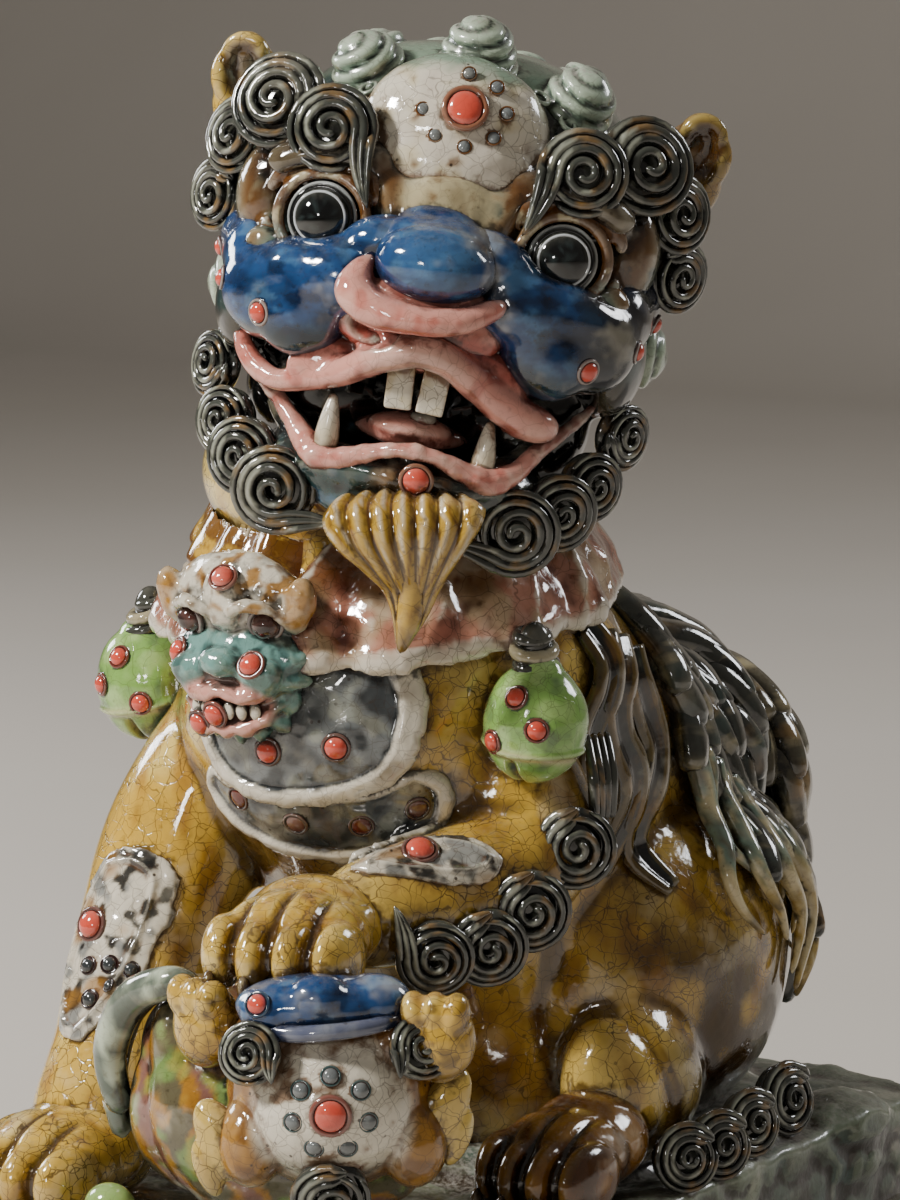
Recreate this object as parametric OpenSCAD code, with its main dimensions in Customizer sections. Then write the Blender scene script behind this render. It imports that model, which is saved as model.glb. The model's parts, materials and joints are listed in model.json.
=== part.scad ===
// Seated guardian lion in glazed pottery, its left forepaw on a cub that lies on its back.
// Millimetres. +Z is up, the lion faces -Y, its own left side is +X.
// The origin is at the middle of the underside of the plinth.

/* [Plinth] */
// Width of the plinth, side to side
plinth_w = 166; // [156:1:190]
// Length of the plinth, front to back
plinth_l = 284; // [280:1:310]
// Height of the plinth
plinth_h = 34; // [30:1:38]
// Thickness of the pottery wall
wall = 8; // [6:0.5:10]
// Radius of the firing vents through the plinth
vent_r = 14; // [8:1:18]

/* [Head] */
// Turn of the head towards the lion's left
head_yaw = 30; // [20:1:40]
// Lean of the crown towards the lion's left
head_roll = 10; // [4:0.5:14]
// Radius of each eyeball
eye_r = 9; // [8:0.5:10]
// Distance of each eye from the middle of the face
eye_x = 30; // [28:0.5:32]

/* [Curls and studs] */
// Radius of the largest ribbed curl
curl_r = 12; // [10:0.5:13]
// Depth of the largest ribbed curl
curl_h = 9; // [7:0.5:11]
// Radius of the red studs
stud_r = 3; // [2.5:0.25:4]
// Radius of the small grey beads
bead_r = 2; // [1.5:0.25:2.5]

/* [Bells] */
// Radius of each harness bell
bell_r = 14; // [12:0.5:16]

/* [Mane] */
// Radius of each mane lock at its thick end
lock_r = 5; // [4:0.25:5.5]

/* [Hidden] */
$fn = 64;

// Sprigs and studs are pressed this far into the piece that carries them
seat = 1;

// Middle of the head, between the ears
head_at = [22, -33, 272];
// Middle of the cub's head
cub_at = [44, -116, 80];

// The lion's body from the ground to the neck: [middle y, height, half width, half length]
torso_rings = [
    [46, plinth_h, 46, 70],
    [44, 60, 51, 78],
    [40, 90, 53, 84],
    [30, 115, 55, 90],
    [12, 140, 57, 92],
    [-4, 160, 58, 80],
    [-16, 178, 56, 66],
    [-22, 195, 47, 52],
    [-24, 212, 38, 42],
    [-25, 224, 30, 34]
];

// ---------- Curves and skins ----------

function unit(v) = v / norm(v);
function xyz(s) = [s[0], s[1], s[2]];

// Place u (0 to len - 1) on the smooth curve through the stations p
function curve_at(p, u) =
    let(n = len(p), i = min(floor(u), n - 2), t = u - i)
    let(a = p[max(i - 1, 0)], b = p[i], c = p[i + 1], d = p[min(i + 2, n - 1)])
    0.5 * (2 * b + (c - a) * t + (2 * a - 5 * b + 4 * c - d) * t * t
        + (3 * b - a - 3 * c + d) * t * t * t);

// The curve through the stations p in k steps between neighbours
function smooth(p, k) = [for (j = [0 : (len(p) - 1) * k]) curve_at(p, j / k)];

// Ring of n points round station s = [x, y, z, half width, half height], square to d
function ring(s, d, up, n) =
    let(side = unit(cross(d, up)), top = cross(side, d))
    [for (i = [0 : n - 1])
        xyz(s) + s[3] * cos(360 * i / n) * side + s[4] * sin(360 * i / n) * top];

// Ring of n points in a level plane, squarer than an ellipse: middle [x, y], height z, half sizes a and b
function level_ring(x, y, z, a, b, n) =
    [for (i = [0 : n - 1])
        let(c = cos(360 * i / n), s = sin(360 * i / n))
        [x + a * sign(c) * pow(abs(c), 0.72), y + b * sign(s) * pow(abs(s), 0.72), z]];

// Faces of m rings of n points, closed by a fan at each end
function skin_faces(m, n) = concat(
    [for (i = [0 : m - 2], j = [0 : n - 1])
        each [
            [i * n + j, (i + 1) * n + (j + 1) % n, i * n + (j + 1) % n],
            [i * n + j, (i + 1) * n + j, (i + 1) * n + (j + 1) % n]
        ]],
    [for (j = [0 : n - 1]) [m * n, j, (j + 1) % n]],
    [for (j = [0 : n - 1]) [m * n + 1, (m - 1) * n + (j + 1) % n, (m - 1) * n + j]]
);

// Closed solid through a list of rings, each with the same number of points
module skin(rings, first, last) {
    polyhedron(
        points = concat([for (r = rings) each r], [first, last]),
        faces = skin_faces(len(rings), len(rings[0]))
    );
}

// Solid swept through stations [x, y, z, half width, half height]
module sweep(stations, up = [0, 0, 1], n = 16, k = 4) {
    path = smooth(stations, k);
    m = len(path);
    rings = [for (i = [0 : m - 1])
        let(d = unit(xyz(path[min(i + 1, m - 1)]) - xyz(path[max(i - 1, 0)])))
        ring(path[i], d, up, n)];
    skin(rings, xyz(path[0]), xyz(path[m - 1]));
}

// Stations whose ends are rounded off: full size in the middle, small at both tips
function tips(p, a, b) =
    let(m = len(p) - 1)
    [for (i = [0 : m]) let(f = (i == 0 || i == m) ? 0.3 : 1) [each p[i], a * f, b * f]];

// ---------- Placing ----------

// Stand a child's Z axis along the direction d at the point p
module facing(p, d) {
    translate(p)
        rotate([0, acos(d[2] / norm(d)), atan2(d[1], d[0])])
            children();
}

// A child drawn on the lion's left, on its right when side is -1
module sided(side) {
    if (side > 0) children();
    else mirror([1, 0, 0]) children();
}

module both_sides() {
    children();
    mirror([1, 0, 0]) children();
}

module on_head() {
    translate(head_at) rotate([0, 0, head_yaw]) rotate([0, head_roll, 0]) children();
}

// Place on the body's skin: u counts the torso rings, t is the angle from the lion's left
function body_point(u, t, out = 0) =
    let(s = curve_at(torso_rings, u))
    [(s[2] + out) * cos(t), s[0] + (s[3] + out) * sin(t), s[1]];

function body_out(u, t) =
    let(s = curve_at(torso_rings, u))
    unit([cos(t) / s[2], sin(t) / s[3], 0]);

// ---------- Repeated shapes ----------

// Ribbed curl: a rounded boss inside two rounded coils, its back at z = 0
module curl(r, h) {
    coil = r * 0.2;
    rotate_extrude() {
        square([r - coil, h - coil]);
        translate([r - coil, 0]) square([coil, h - 2 * coil]);
        translate([r - coil, h - 2 * coil]) circle(coil, $fn = 32);
        translate([r - 3 * coil, h - coil]) circle(coil, $fn = 32);
    }
}

// Domed stud, its back at z = 0
module stud(r) {
    rotate_extrude()
        intersection() {
            translate([0, -r * 0.3]) circle(r * 1.04);
            square(r * 2);
        }
}

// Egg with half sizes a, b and c
module egg(a, b, c) {
    scale([a, b, c]) sphere(1, $fn = 96);
}

// Straight mane lock from p to q, thick at p and round at both ends
module lock(p, q, r) {
    length = norm(q - p);
    tip = r * 0.8;
    facing(p, q - p)
        rotate_extrude($fn = 32) {
            difference() {
                translate([0, r]) circle(r);
                translate([-2 * r, -r]) square([2 * r, 4 * r]);
            }
            polygon([[0, r], [r, r], [tip, length - tip], [0, length - tip]]);
            difference() {
                translate([0, length - tip]) circle(tip);
                translate([-2 * r, length - 3 * r]) square([2 * r, 6 * r]);
            }
        }
}

// Paw: a rounded foot pointing to -Y, four toes along its front, its sole at z = 0
module paw(w, l, h) {
    // [place along the foot, half width, height, depth of the grooves between the toes]
    rows = [
        [0.5, 0.14, 0.3, 0],
        [0.42, 0.36, 0.8, 0],
        [0.2, 0.46, 1, 0],
        [-0.1, 0.5, 1, 0.04],
        [-0.3, 0.5, 0.9, 0.14],
        [-0.44, 0.46, 0.68, 0.22],
        [-0.52, 0.32, 0.4, 0.3]
    ];
    path = smooth([for (r = rows) [0, r[0] * l, r[1] * w, r[2] * h, r[3]]], 2);
    n = 32;
    rings = [for (s = path)
        [for (i = [0 : n - 1])
            let(
                t = 360 * i / n,
                across = cos(t),
                groove = 1 - s[4] * pow(cos(360 * across), 2) * max(sin(t), 0)
            )
            [s[2] * across, s[1], s[3] / 2 + s[3] / 2 * sin(t) * groove]]];
    m = len(path) - 1;
    skin(rings, [0, path[0][1], path[0][3] / 2], [0, path[m][1], path[m][3] / 2]);
}

// ---------- Base ----------

module plinth_outline(inset) {
    corner = 26;
    w = plinth_w / 2 - corner;
    l = plinth_l / 2 - corner;
    hull()
        for (x = [-w, w], y = [-l, l])
            translate([x, y]) circle(corner - inset);
}

// Hollow base with one vent underneath and one into the body
module plinth() {
    color("#6f7a68")
        difference() {
            linear_extrude(plinth_h) plinth_outline(0);
            translate([0, 0, wall]) linear_extrude(plinth_h - 2 * wall) plinth_outline(wall);
            translate([0, 46, -1]) cylinder(h = plinth_h + 2, r = vent_r);
        }
}

// Closed ring through n sections of k points each
module ring_skin(points, n, k) {
    polyhedron(
        points = points,
        faces = [for (i = [0 : n - 1], j = [0 : k - 1])
            let(
                a = i * k + j,
                b = i * k + (j + 1) % k,
                c = ((i + 1) % n) * k + (j + 1) % k,
                d = ((i + 1) % n) * k + j
            )
            each [[a, b, c], [a, c, d]]]
    );
}

// Low bank of rocks round the foot of the statue
module rock_mound() {
    n = 48;
    function rock(t) = 1 + 0.05 * sin(5 * t) + 0.03 * cos(9 * t + 40);
    // Section through the bank: [part of the outer radius, height above the plinth]
    section = [[0.62, 0], [1, 0], [0.97, 4], [0.86, 8], [0.7, 8], [0.62, 5]];
    color("#7b8570")
        ring_skin(
            [for (i = [0 : n - 1], s = section)
                let(t = 360 * i / n, f = rock(t) * s[0])
                [76 * f * cos(t), 46 + 84 * f * sin(t), plinth_h + s[1]]],
            n, len(section)
        );
}

// ---------- Body ----------

// Hollow body, open underneath
module torso() {
    k = 3;
    n = 32;
    outer = smooth(torso_rings, k);
    m = len(outer);
    function level(s, inset, dz) =
        [for (i = [0 : n - 1])
            let(t = 360 * i / n)
            [(s[2] - inset) * cos(t), s[0] + (s[3] - inset) * sin(t), s[1] - dz]];
    inside = [for (i = [m - 3 : -1 : 0]) level(outer[i], wall, 0)];
    outside = [for (i = [0 : m - 1]) level(outer[i], 0, 0)];
    crown = outer[m - 1];
    color("#b07a22")
        skin(concat(inside, outside), [0, crown[0], outer[m - 3][1]], [0, crown[0], crown[1]]);
}

module neck() {
    color("#b07a22")
        sweep([
            [0, -24, 222, 28, 26],
            [4, -20, 232, 35, 32],
            [12, -14, 244, 36, 33],
            [18, -12, 254, 32, 28],
            [20, -12, 259, 20, 18]
        ], up = [0, -1, 0], n = 24, k = 2);
}

// Thigh pad: half an egg laid on the flank, flat on its inner side
module haunch(side) {
    inner = 38;
    bulge = 37;
    steps = 7;
    function level(f) =
        [for (i = [0 : 31])
            let(t = 360 * i / 32)
            [inner + bulge * f, 44 + 56 * sqrt(1 - f * f) * cos(t), 84 + 50 * sqrt(1 - f * f) * sin(t)]];
    color("#b9862b")
        sided(side)
            skin(
                [for (i = [0 : steps]) level(sin(86 * i / steps))],
                [inner, 44, 84],
                [inner + bulge, 44, 84]
            );
}

module haunch_left() haunch(1);
module haunch_right() haunch(-1);

// Raised foreleg: shoulder, bent elbow and forearm reaching out to the cub
module foreleg_left() {
    color("#b9862b")
        sweep([
            [30, -30, 158, 14, 14],
            [38, -34, 148, 21, 23],
            [48, -36, 131, 21, 22],
            [49, -52, 122, 18, 18],
            [42, -72, 119, 16, 16],
            [34, -90, 117, 14, 13],
            [31, -98, 116, 9, 8]
        ], up = [1, 0, 0], n = 20, k = 4);
}

// Straight foreleg that carries the chest
module foreleg_right() {
    color("#b9862b")
        sweep([
            [-28, -38, 158, 12, 12],
            [-36, -46, 146, 21, 22],
            [-44, -58, 122, 22, 22],
            [-46, -72, 96, 20, 19],
            [-47, -84, 70, 18, 17],
            [-48, -94, 50, 18, 16],
            [-48, -98, 42, 12, 10]
        ], up = [0, -1, 0], n = 20, k = 4);
}

module forepaw_left() {
    color("#c9952f")
        translate([28, -108, 104]) rotate([4, 0, 12]) paw(42, 46, 24);
}

module forepaw_right() {
    color("#c9952f")
        translate([-48, -108, plinth_h]) rotate([0, 0, -6]) paw(46, 48, 27);
}

module hindpaw(side) {
    color("#7d5220")
        sided(side)
            translate([60, -30, plinth_h]) rotate([0, 0, 4]) paw(38, 58, 26);
}

module hindpaw_left() hindpaw(1);
module hindpaw_right() hindpaw(-1);

// ---------- Head ----------

// Level sections through a head piece: [height, half width, front y, back y]
module head_sections(rows, n, k) {
    path = smooth(rows, k);
    m = len(path) - 1;
    skin(
        [for (r = path) level_ring(0, (r[2] + r[3]) / 2, r[0], r[1], (r[3] - r[2]) / 2, n)],
        [0, (path[0][2] + path[0][3]) / 2, path[0][0]],
        [0, (path[m][2] + path[m][3]) / 2, path[m][0]]
    );
}

// Cranium down to the palate
module skull() {
    color("#3b4a4c")
        on_head()
            head_sections([
                [-16, 44, -48, 38],
                [-13, 47, -52, 42],
                [0, 50, -52, 46],
                [18, 51, -46, 48],
                [35, 49, -42, 45],
                [50, 41, -34, 38],
                [60, 28, -23, 26],
                [64, 12, -10, 12]
            ], 32, 2);
}

// Shallow tray under the mouth
module lower_jaw() {
    color("#27363a")
        on_head()
            head_sections([
                [-58, 14, -36, -10],
                [-56, 24, -44, 0],
                [-50, 33, -52, 6],
                [-43, 37, -54, 8],
                [-39, 34, -51, 6]
            ], 28, 2);
}

module cheeks() {
    color("#234a86")
        on_head()
            both_sides()
                translate([34, -38, -1]) rotate([0, 4, -32]) egg(20, 13, 15);
}

module nose() {
    color("#2c5a9c")
        on_head()
            translate([0, -56, 11]) egg(15, 14, 10.5);
}

// Rolled rim under the nose that ends in two turned-up wings
module nostril_wings() {
    color("#d9847a")
        on_head()
            sweep(tips([
                [-22, -54, 8], [-20, -58, 1], [-12, -63, -3], [0, -66, -4],
                [12, -63, -3], [20, -58, 1], [22, -54, 8]
            ], 3, 3.5), n = 10, k = 3);
}

module upper_lip() {
    color("#d9847a")
        on_head()
            sweep(tips([
                [-47, -30, -18], [-40, -42, -19], [-26, -50, -20], [-13, -56, -15], [0, -60, -11],
                [13, -56, -15], [26, -50, -20], [40, -42, -19], [47, -30, -18]
            ], 3.5, 4.5), n = 10, k = 3);
}

module lower_lip() {
    color("#c97068")
        on_head()
            sweep(tips([
                [-46, -30, -24], [-40, -38, -31], [-31, -46, -39], [-20, -52, -42], [0, -57, -38],
                [20, -52, -42], [31, -46, -39], [40, -38, -31], [46, -30, -24]
            ], 3, 3.5), n = 10, k = 3);
}

// Two square front teeth above and two fangs below
module teeth() {
    tooth_w = 7.4;
    color("#e6dcc4")
        on_head() {
            for (x = [-0.52, 0.52])
                translate([x * tooth_w, -55, -26.5])
                    rotate([90, 0, 0])
                        linear_extrude(4, center = true)
                            translate([-tooth_w / 2, 0]) square([tooth_w, 11]);
            for (x = [-20, 20])
                translate([x, -48, -40]) cylinder(h = 14, r1 = 3.2, r2 = 0.6, $fn = 32);
        }
}

module tongue() {
    color("#c4625c")
        on_head()
            sweep([
                [0, -14, -36, 10, 2],
                [0, -20, -35, 15, 4],
                [0, -34, -34, 15, 4],
                [0, -45, -34, 10, 3.5],
                [0, -49, -34, 4, 2]
            ], n = 14, k = 3);
}

module eye(side) {
    color("#20262a")
        on_head() sided(side)
            translate([eye_x, -45, 17]) sphere(eye_r);
}

module eye_left() eye(1);
module eye_right() eye(-1);

// Thick rims above and below each eyeball
module eyelids() {
    rim = eye_r + 1.5;
    color("#8a8160")
        on_head() both_sides()
            translate([eye_x, -46, 17])
                rotate([0, 0, 12])
                    for (turn = [0, 180])
                        sweep(tips(
                            [for (a = [-80 : 32 : 80]) [rim * sin(a + turn), -1, rim * cos(a + turn)]],
                            2.5, 4
                        ), up = [0, -1, 0], n = 8, k = 2);
}

module ear(side) {
    color("#a87a2c")
        on_head() sided(side)
            sweep([
                [50, 2, 40, 6, 4],
                [56, 0, 46, 11, 5],
                [62, -2, 54, 10, 4],
                [66, -4, 61, 3, 2]
            ], up = [0, -1, 0], n = 14, k = 3);
}

module ear_left() ear(1);
module ear_right() ear(-1);

module forehead_dome() {
    color("#ddd5c0")
        on_head()
            translate([0, -34, 44]) rotate([-14, 0, 0]) egg(21, 14, 19);
}

// Local head places and facings of the red stud and the beads round it
stud_at = [0, -47.5, 50];
bead_ring = 8.5;

module forehead_stud() {
    color("#cf5a50")
        on_head()
            facing(stud_at, [0, -1, 0.35]) cylinder(h = 2.5, r = 5);
}

module forehead_beads() {
    color("#79807c")
        on_head()
            facing(stud_at - [0, seat, 0], [0, -1, 0.35])
                for (a = [0 : 51.4 : 359])
                    rotate([0, 0, a]) translate([bead_ring, 0, -1]) sphere(bead_r);
}

// Ribbed buns: one row over the forehead, then rows down the back of the head
module crown_knots() {
    // Each row: [angle above the ears, number of buns, first angle round the head, last angle]
    rows = [[58, 4, 22, 158], [35, 6, 10, 170], [12, 7, 6, 174], [-10, 7, 8, 172]];
    color("#8d9a86")
        on_head() {
            for (a = [-60 : 30 : 60])
                let(d = [sin(a), -0.42, cos(a)])
                    facing([49 * d[0], -20, 59 * d[2]], d) bun(11);
            for (r = rows, i = [0 : r[1] - 1])
                let(
                    around = r[2] + (r[3] - r[2]) * i / (r[1] - 1),
                    d = [cos(r[0]) * cos(around), cos(r[0]) * sin(around), sin(r[0])]
                )
                    facing([49 * d[0], 46 * d[1], 3 + 57 * d[2]], d) bun(11);
        }
}

// Bun of three stacked coils
module bun(r) {
    coil = r * 0.3;
    rotate_extrude($fn = 48)
        for (i = [0 : 2])
            let(x = r * (0.7 - 0.18 * i), top = r * (0.3 + 0.34 * i)) {
                translate([x, top]) circle(coil, $fn = 32);
                square([x, top + coil]);
            }
}

// Curls over each eye: [place, facing, radius]
brow_curls = [
    [[32, -44, 38], [0.15, -1, 0.2], curl_r],
    [[45, -36, 42], [0.45, -1, 0.35], curl_r],
    [[55, -24, 31], [0.8, -0.9, 0.2], curl_r * 0.9],
    [[57.5, -19, 14], [0.9, -0.9, 0], curl_r * 0.85]
];

// Curls along each side of the jaw: [place, facing, radius]
jaw_curls = [
    [[30, -38, -53], [0.15, -1, -0.15], curl_r],
    [[40, -31, -46], [0.5, -1, -0.15], curl_r * 0.9],
    [[47, -23, -39], [0.7, -0.8, 0], curl_r * 0.8],
    [[51, -15, -26], [1, -0.7, 0], curl_r * 0.8]
];

module curl_row(list) {
    for (c = list)
        facing(c[0], c[1]) curl(c[2], curl_h * c[2] / curl_r);
}

module brow_curls_left() color("#3c4340") on_head() curl_row(brow_curls);
module brow_curls_right() color("#3c4340") on_head() sided(-1) curl_row(brow_curls);
module jaw_curls_left() color("#33383a") on_head() curl_row(jaw_curls);
module jaw_curls_right() color("#33383a") on_head() sided(-1) curl_row(jaw_curls);

// Fan-shaped beard that narrows to a point
module goatee() {
    color("#c68a2a")
        on_head()
            sweep([
                [0, -54, -46, 16, 3],
                [0, -58, -50, 18, 4.5],
                [0, -58, -60, 14, 5],
                [0, -56, -72, 8, 4.5],
                [0, -55, -80, 4.5, 4],
                [0, -54, -86, 1, 1]
            ], up = [0, -1, 0], n = 16, k = 3);
}

// Red studs on both cheeks and one on the chin
module face_studs() {
    color("#cf5a50")
        on_head() {
            both_sides()
                for (s = [
                    [[50.5, -34, 7], [0.8, -0.8, 0.1], 2.8],
                    [[47.5, -40.5, 0], [0.6, -0.9, 0], 2.8],
                    [[40, -47, -8], [0.4, -1, -0.2], 3.2]
                ])
                    facing(s[0], s[1]) stud(s[2]);
            facing([0, -56, -43], [0, -1, -0.1]) stud(4);
        }
}

// ---------- Chest ornaments ----------

// Folded cloth collar round the neck, lower in front
module collar() {
    n = 48;
    folds = 12;
    // Section through the cloth: [distance from the axis, height above the hem, depth of the folds]
    section = [
        [52, 0, 0], [60, -3, 1.5], [61, 1, 1.5], [58, 9, 1.5],
        [50, 21, 1.5], [42, 29, 0], [38, 28, 0], [46, 14, 0]
    ];
    points = [for (i = [0 : n - 1], s = section)
        let(t = 360 * i / n, r = s[0] + s[2] * sin(folds * t))
        [r * cos(t), -24 + r * 1.04 * sin(t), 188 + 8 * sin(t) + s[1]]];
    color("#c08a78")
        ring_skin(points, n, len(section));
}

// Small beast face that hangs from the collar
module chest_mask() {
    color("#7f9a92")
        translate([0, -86, 182]) rotate([8, 0, 0]) {
            sweep([
                [0, 2, 24, 10, 6],
                [0, 0, 18, 18, 9],
                [0, -2, 4, 20, 11],
                [0, -2, -10, 17, 11],
                [0, 2, -20, 10, 7]
            ], up = [0, -1, 0], n = 20, k = 3);
        }
}

// Half-round bib plates, one below the other, bent round the chest
module bib_plate(top, rows, spread, thick) {
    n = 24;
    function edge(t, row) =
        let(u = top - row[0], a = -90 + spread * row[1] * t)
        [u, a];
    front = [for (row = rows)
        [for (j = [0 : n]) let(e = edge(2 * j / n - 1, row)) body_point(e[0], e[1], thick)]];
    back = [for (row = rows)
        [for (j = [n : -1 : 0]) let(e = edge(2 * j / n - 1, row)) body_point(e[0], e[1], -seat)]];
    rings = [for (i = [0 : len(rows) - 1]) concat(front[i], back[i])];
    last = len(rows) - 1;
    skin(
        rings,
        (front[0][n / 2] + back[0][n / 2]) / 2,
        (front[last][n / 2] + back[last][n / 2]) / 2
    );
}

module bib_upper() {
    color("#8b8f8c")
        bib_plate(
            5.0,
            [for (i = [0 : 6]) [i * 0.22, sqrt(1 - pow(i / 6.6, 2))]],
            36, 4
        );
}

module bib_lower() {
    color("#85898a")
        bib_plate(
            3.72,
            [for (i = [0 : 4]) [i * 0.2, sqrt(1 - pow(i / 4.6, 2))]],
            30, 3
        );
}

// Studs on the mask, the bib and the bells, seated on the skin of the chest
module chest_studs() {
    color("#cf5a50") {
        for (s = [[4.55, -108], [4.3, -90], [4.55, -72], [3.45, -106], [3.3, -90], [3.45, -74]])
            facing(body_point(s[0], s[1], 3.5), body_out(s[0], s[1])) stud(stud_r + 0.5);
        for (x = [-9, 9])
            facing([x, -96, 190], [x / 30, -1, 0.2]) sphere(4);
        both_sides()
            facing([70, -60, 158], [0.7, -0.8, 0]) stud(stud_r);
    }
}

bell_at = [62, -50, 164];

module bell(side) {
    color("#7fae56")
        sided(side)
            translate(bell_at)
                rotate([0, 8, 0])
                    difference() {
                        egg(bell_r, bell_r * 0.9, bell_r * 1.15);
                        translate([0, 0, -bell_r * 1.15])
                            cube([1.6, bell_r * 2, bell_r * 0.8], center = true);
                    }
}

module bell_left() bell(1);
module bell_right() bell(-1);

// Corded knot above each bell
module bell_knots() {
    color("#2d2f2a")
        both_sides()
            translate(bell_at + [-2, 0, bell_r * 1.15 - seat])
                rotate_extrude() {
                    translate([4, 2.5]) circle(2.5);
                    translate([3.2, 7]) circle(2.2);
                    square([4, 9]);
                }
}

// ---------- Leg ornaments ----------

// Long shield on the outside of the straight leg, round shield on the raised one
module leg_patches() {
    color("#b9b3a0") {
        sweep([
            [-58, -60, 130, 3, 2],
            [-62, -68, 118, 8, 3],
            [-62, -76, 100, 10, 3],
            [-61, -84, 82, 9, 3],
            [-60, -92, 64, 3, 2]
        ], up = [-1, -0.8, 0], n = 12, k = 3);
        sweep([
            [52, -56, 139, 3, 2],
            [49, -66, 136, 10, 3],
            [44, -80, 133, 11, 3],
            [40, -90, 130, 4, 2]
        ], up = [0.3, 0, 1], n = 12, k = 3);
    }
}

module leg_studs() {
    color("#cf5a50") {
        facing([45, -77, 136], [0.2, -0.2, 1]) stud(4);
        facing([-63.5, -77, 102], [-1, -0.6, 0.1]) stud(3.8);
        for (p = [[-63, -73, 113], [-64, -80, 92], [-62, -86, 84]])
            facing(p, [-1, -0.7, 0.1]) stud(bead_r + 0.5);
    }
}

// Curls below the raised foreleg and behind the straight one
leg_curl_list = [
    [[62, -34, 128], [1, -0.3, 0], 10.5],
    [[60, -56, 116], [0.9, -0.5, -0.1], 10.5],
    [[55, -74, 109], [0.8, -0.7, -0.2], 10],
    [[48, -93, 107], [0.7, -0.8, -0.2], 9]
];
straight_leg_curls = [
    [[-58, -48, 118], [-1, 0.4, 0], 9.5],
    [[-58, -56, 98], [-1, 0.4, 0], 9],
    [[-59, -64, 79], [-1, 0.4, 0], 8.5]
];

module leg_curls() {
    color("#3a403c") {
        curl_row(leg_curl_list);
        curl_row(straight_leg_curls);
    }
}

module haunch_curls() {
    color("#3a403c")
        both_sides()
            for (i = [0 : 3])
                facing([72 - i * 2 - pow(i / 3, 2) * 4, 2 + i * 20, plinth_h + 13], [1, -0.35 + i * 0.15, 0.1])
                    curl(9.5, 8);
}

// ---------- Mane, tail and wisps ----------

// Rows of rolled locks that lap down the back
module mane_locks() {
    color("#2f3833")
        for (row = [0 : 6], i = [0 : 9])
            let(
                t = 12 + (i + (row % 2) * 0.5) * 16.4,
                u = 6.7 - row * 0.85,
                p = body_point(u, t, lock_r - seat),
                q = body_point(u - 0.7, t, lock_r + 1)
            )
                lock(p, q, lock_r);
}

// Tail that curls up against the rump
module tail() {
    color("#4a5a48")
        sweep([
            [0, 118, 52, 8, 8],
            [0, 126, 62, 11, 10],
            [0, 132, 84, 15, 11],
            [0, 133, 106, 17, 11],
            [0, 128, 128, 14, 9],
            [0, 124, 146, 8, 6],
            [0, 124, 156, 2, 2]
        ], up = [0, -1, 0], n = 16, k = 3);
}

// Wavy flame-shaped wisps over each hip
module hip_wisps() {
    color("#6d8272")
        both_sides()
            for (i = [0 : 2])
                translate([0, i * 17, -i * 8])
                    sweep([
                        [66, 50, 138, 2.5, 3],
                        [73, 47, 122, 3.5, 5],
                        [76, 53, 106, 3, 5],
                        [75, 47, 92, 3, 4],
                        [75, 52, 80, 1, 1]
                    ], up = [0, 1, 0], n = 8, k = 3);
}

// Fluttering fins of cloth behind each shoulder
module shoulder_fins() {
    color("#3d2f22")
        both_sides()
            for (i = [0, 1])
                translate([0, i * 22, -i * 6])
                    sweep([
                        [52, -8, 180, 2, 4],
                        [60, -6, 166, 2.5, 8],
                        [61, 0, 150, 2.5, 6],
                        [62, -5, 136, 2.5, 8],
                        [60, 0, 122, 1, 2]
                    ], up = [0, 1, 0], n = 10, k = 3);
}

// ---------- Cub ----------

module cub_body() {
    color("#8a7a38")
        sweep([
            [58, -94, 62, 16, 14],
            [44, -98, 66, 28, 27],
            [20, -102, 68, 32, 31],
            [0, -108, 66, 28, 27],
            [-14, -112, 60, 14, 12]
        ], n = 20, k = 3);
}

module on_cub() {
    translate(cub_at) rotate([0, 0, 33]) children();
}

// Head on its back: the forehead faces forwards, the muzzle points up
module cub_head() {
    color("#ddd5c0")
        on_cub() egg(28, 26, 27);
}

module cub_muzzle() {
    color("#2c5a9c")
        on_cub() translate([-4, -14, 24]) egg(21, 12, 9);
}

module cub_ears() {
    color("#c68a2a")
        on_cub()
            for (side = [-1, 1])
                translate([side * 27, -8, side * 5 - 4])
                    rotate([0, side * 60, 0]) translate([0, 0, -6]) egg(7, 5, 15);
}

module cub_curls() {
    color("#6e746c")
        on_cub() {
            for (side = [-1, 1])
                facing([side * 21, -19, 13], [side * 0.5, -1, 0.3]) curl(8, 7);
            facing([0, -18, -21], [0, -1, -0.5]) curl(9.5, 8);
        }
}

module cub_paws() {
    color("#c9952f") {
        translate([17, -132, 94]) rotate([20, 0, -10]) egg(9, 9, 13);
        translate([74, -114, 94]) rotate([20, 0, 20]) egg(8, 9, 12);
    }
}

module cub_beads() {
    color("#cf5a50")
        on_cub()
            facing([0, -25, 0], [0, -1, 0]) {
                stud(4.5);
                for (a = [0 : 51.4 : 359])
                    rotate([0, 0, a]) translate([8.5, 0, 0]) sphere(bead_r);
            }
}

// ---------- Selection ----------

plinth();
rock_mound();
torso();
neck();
haunch_left();
haunch_right();
foreleg_left();
foreleg_right();
forepaw_left();
forepaw_right();
hindpaw_left();
hindpaw_right();
skull();
lower_jaw();
cheeks();
nose();
nostril_wings();
upper_lip();
lower_lip();
teeth();
tongue();
eye_left();
eye_right();
eyelids();
ear_left();
ear_right();
forehead_dome();
forehead_stud();
forehead_beads();
crown_knots();
brow_curls_left();
brow_curls_right();
jaw_curls_left();
jaw_curls_right();
goatee();
face_studs();
collar();
chest_mask();
bib_upper();
bib_lower();
chest_studs();
bell_left();
bell_right();
bell_knots();
leg_patches();
leg_studs();
leg_curls();
haunch_curls();
mane_locks();
tail();
hip_wisps();
shoulder_fins();
cub_body();
cub_head();
cub_muzzle();
cub_ears();
cub_curls();
cub_paws();
cub_beads();
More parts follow.
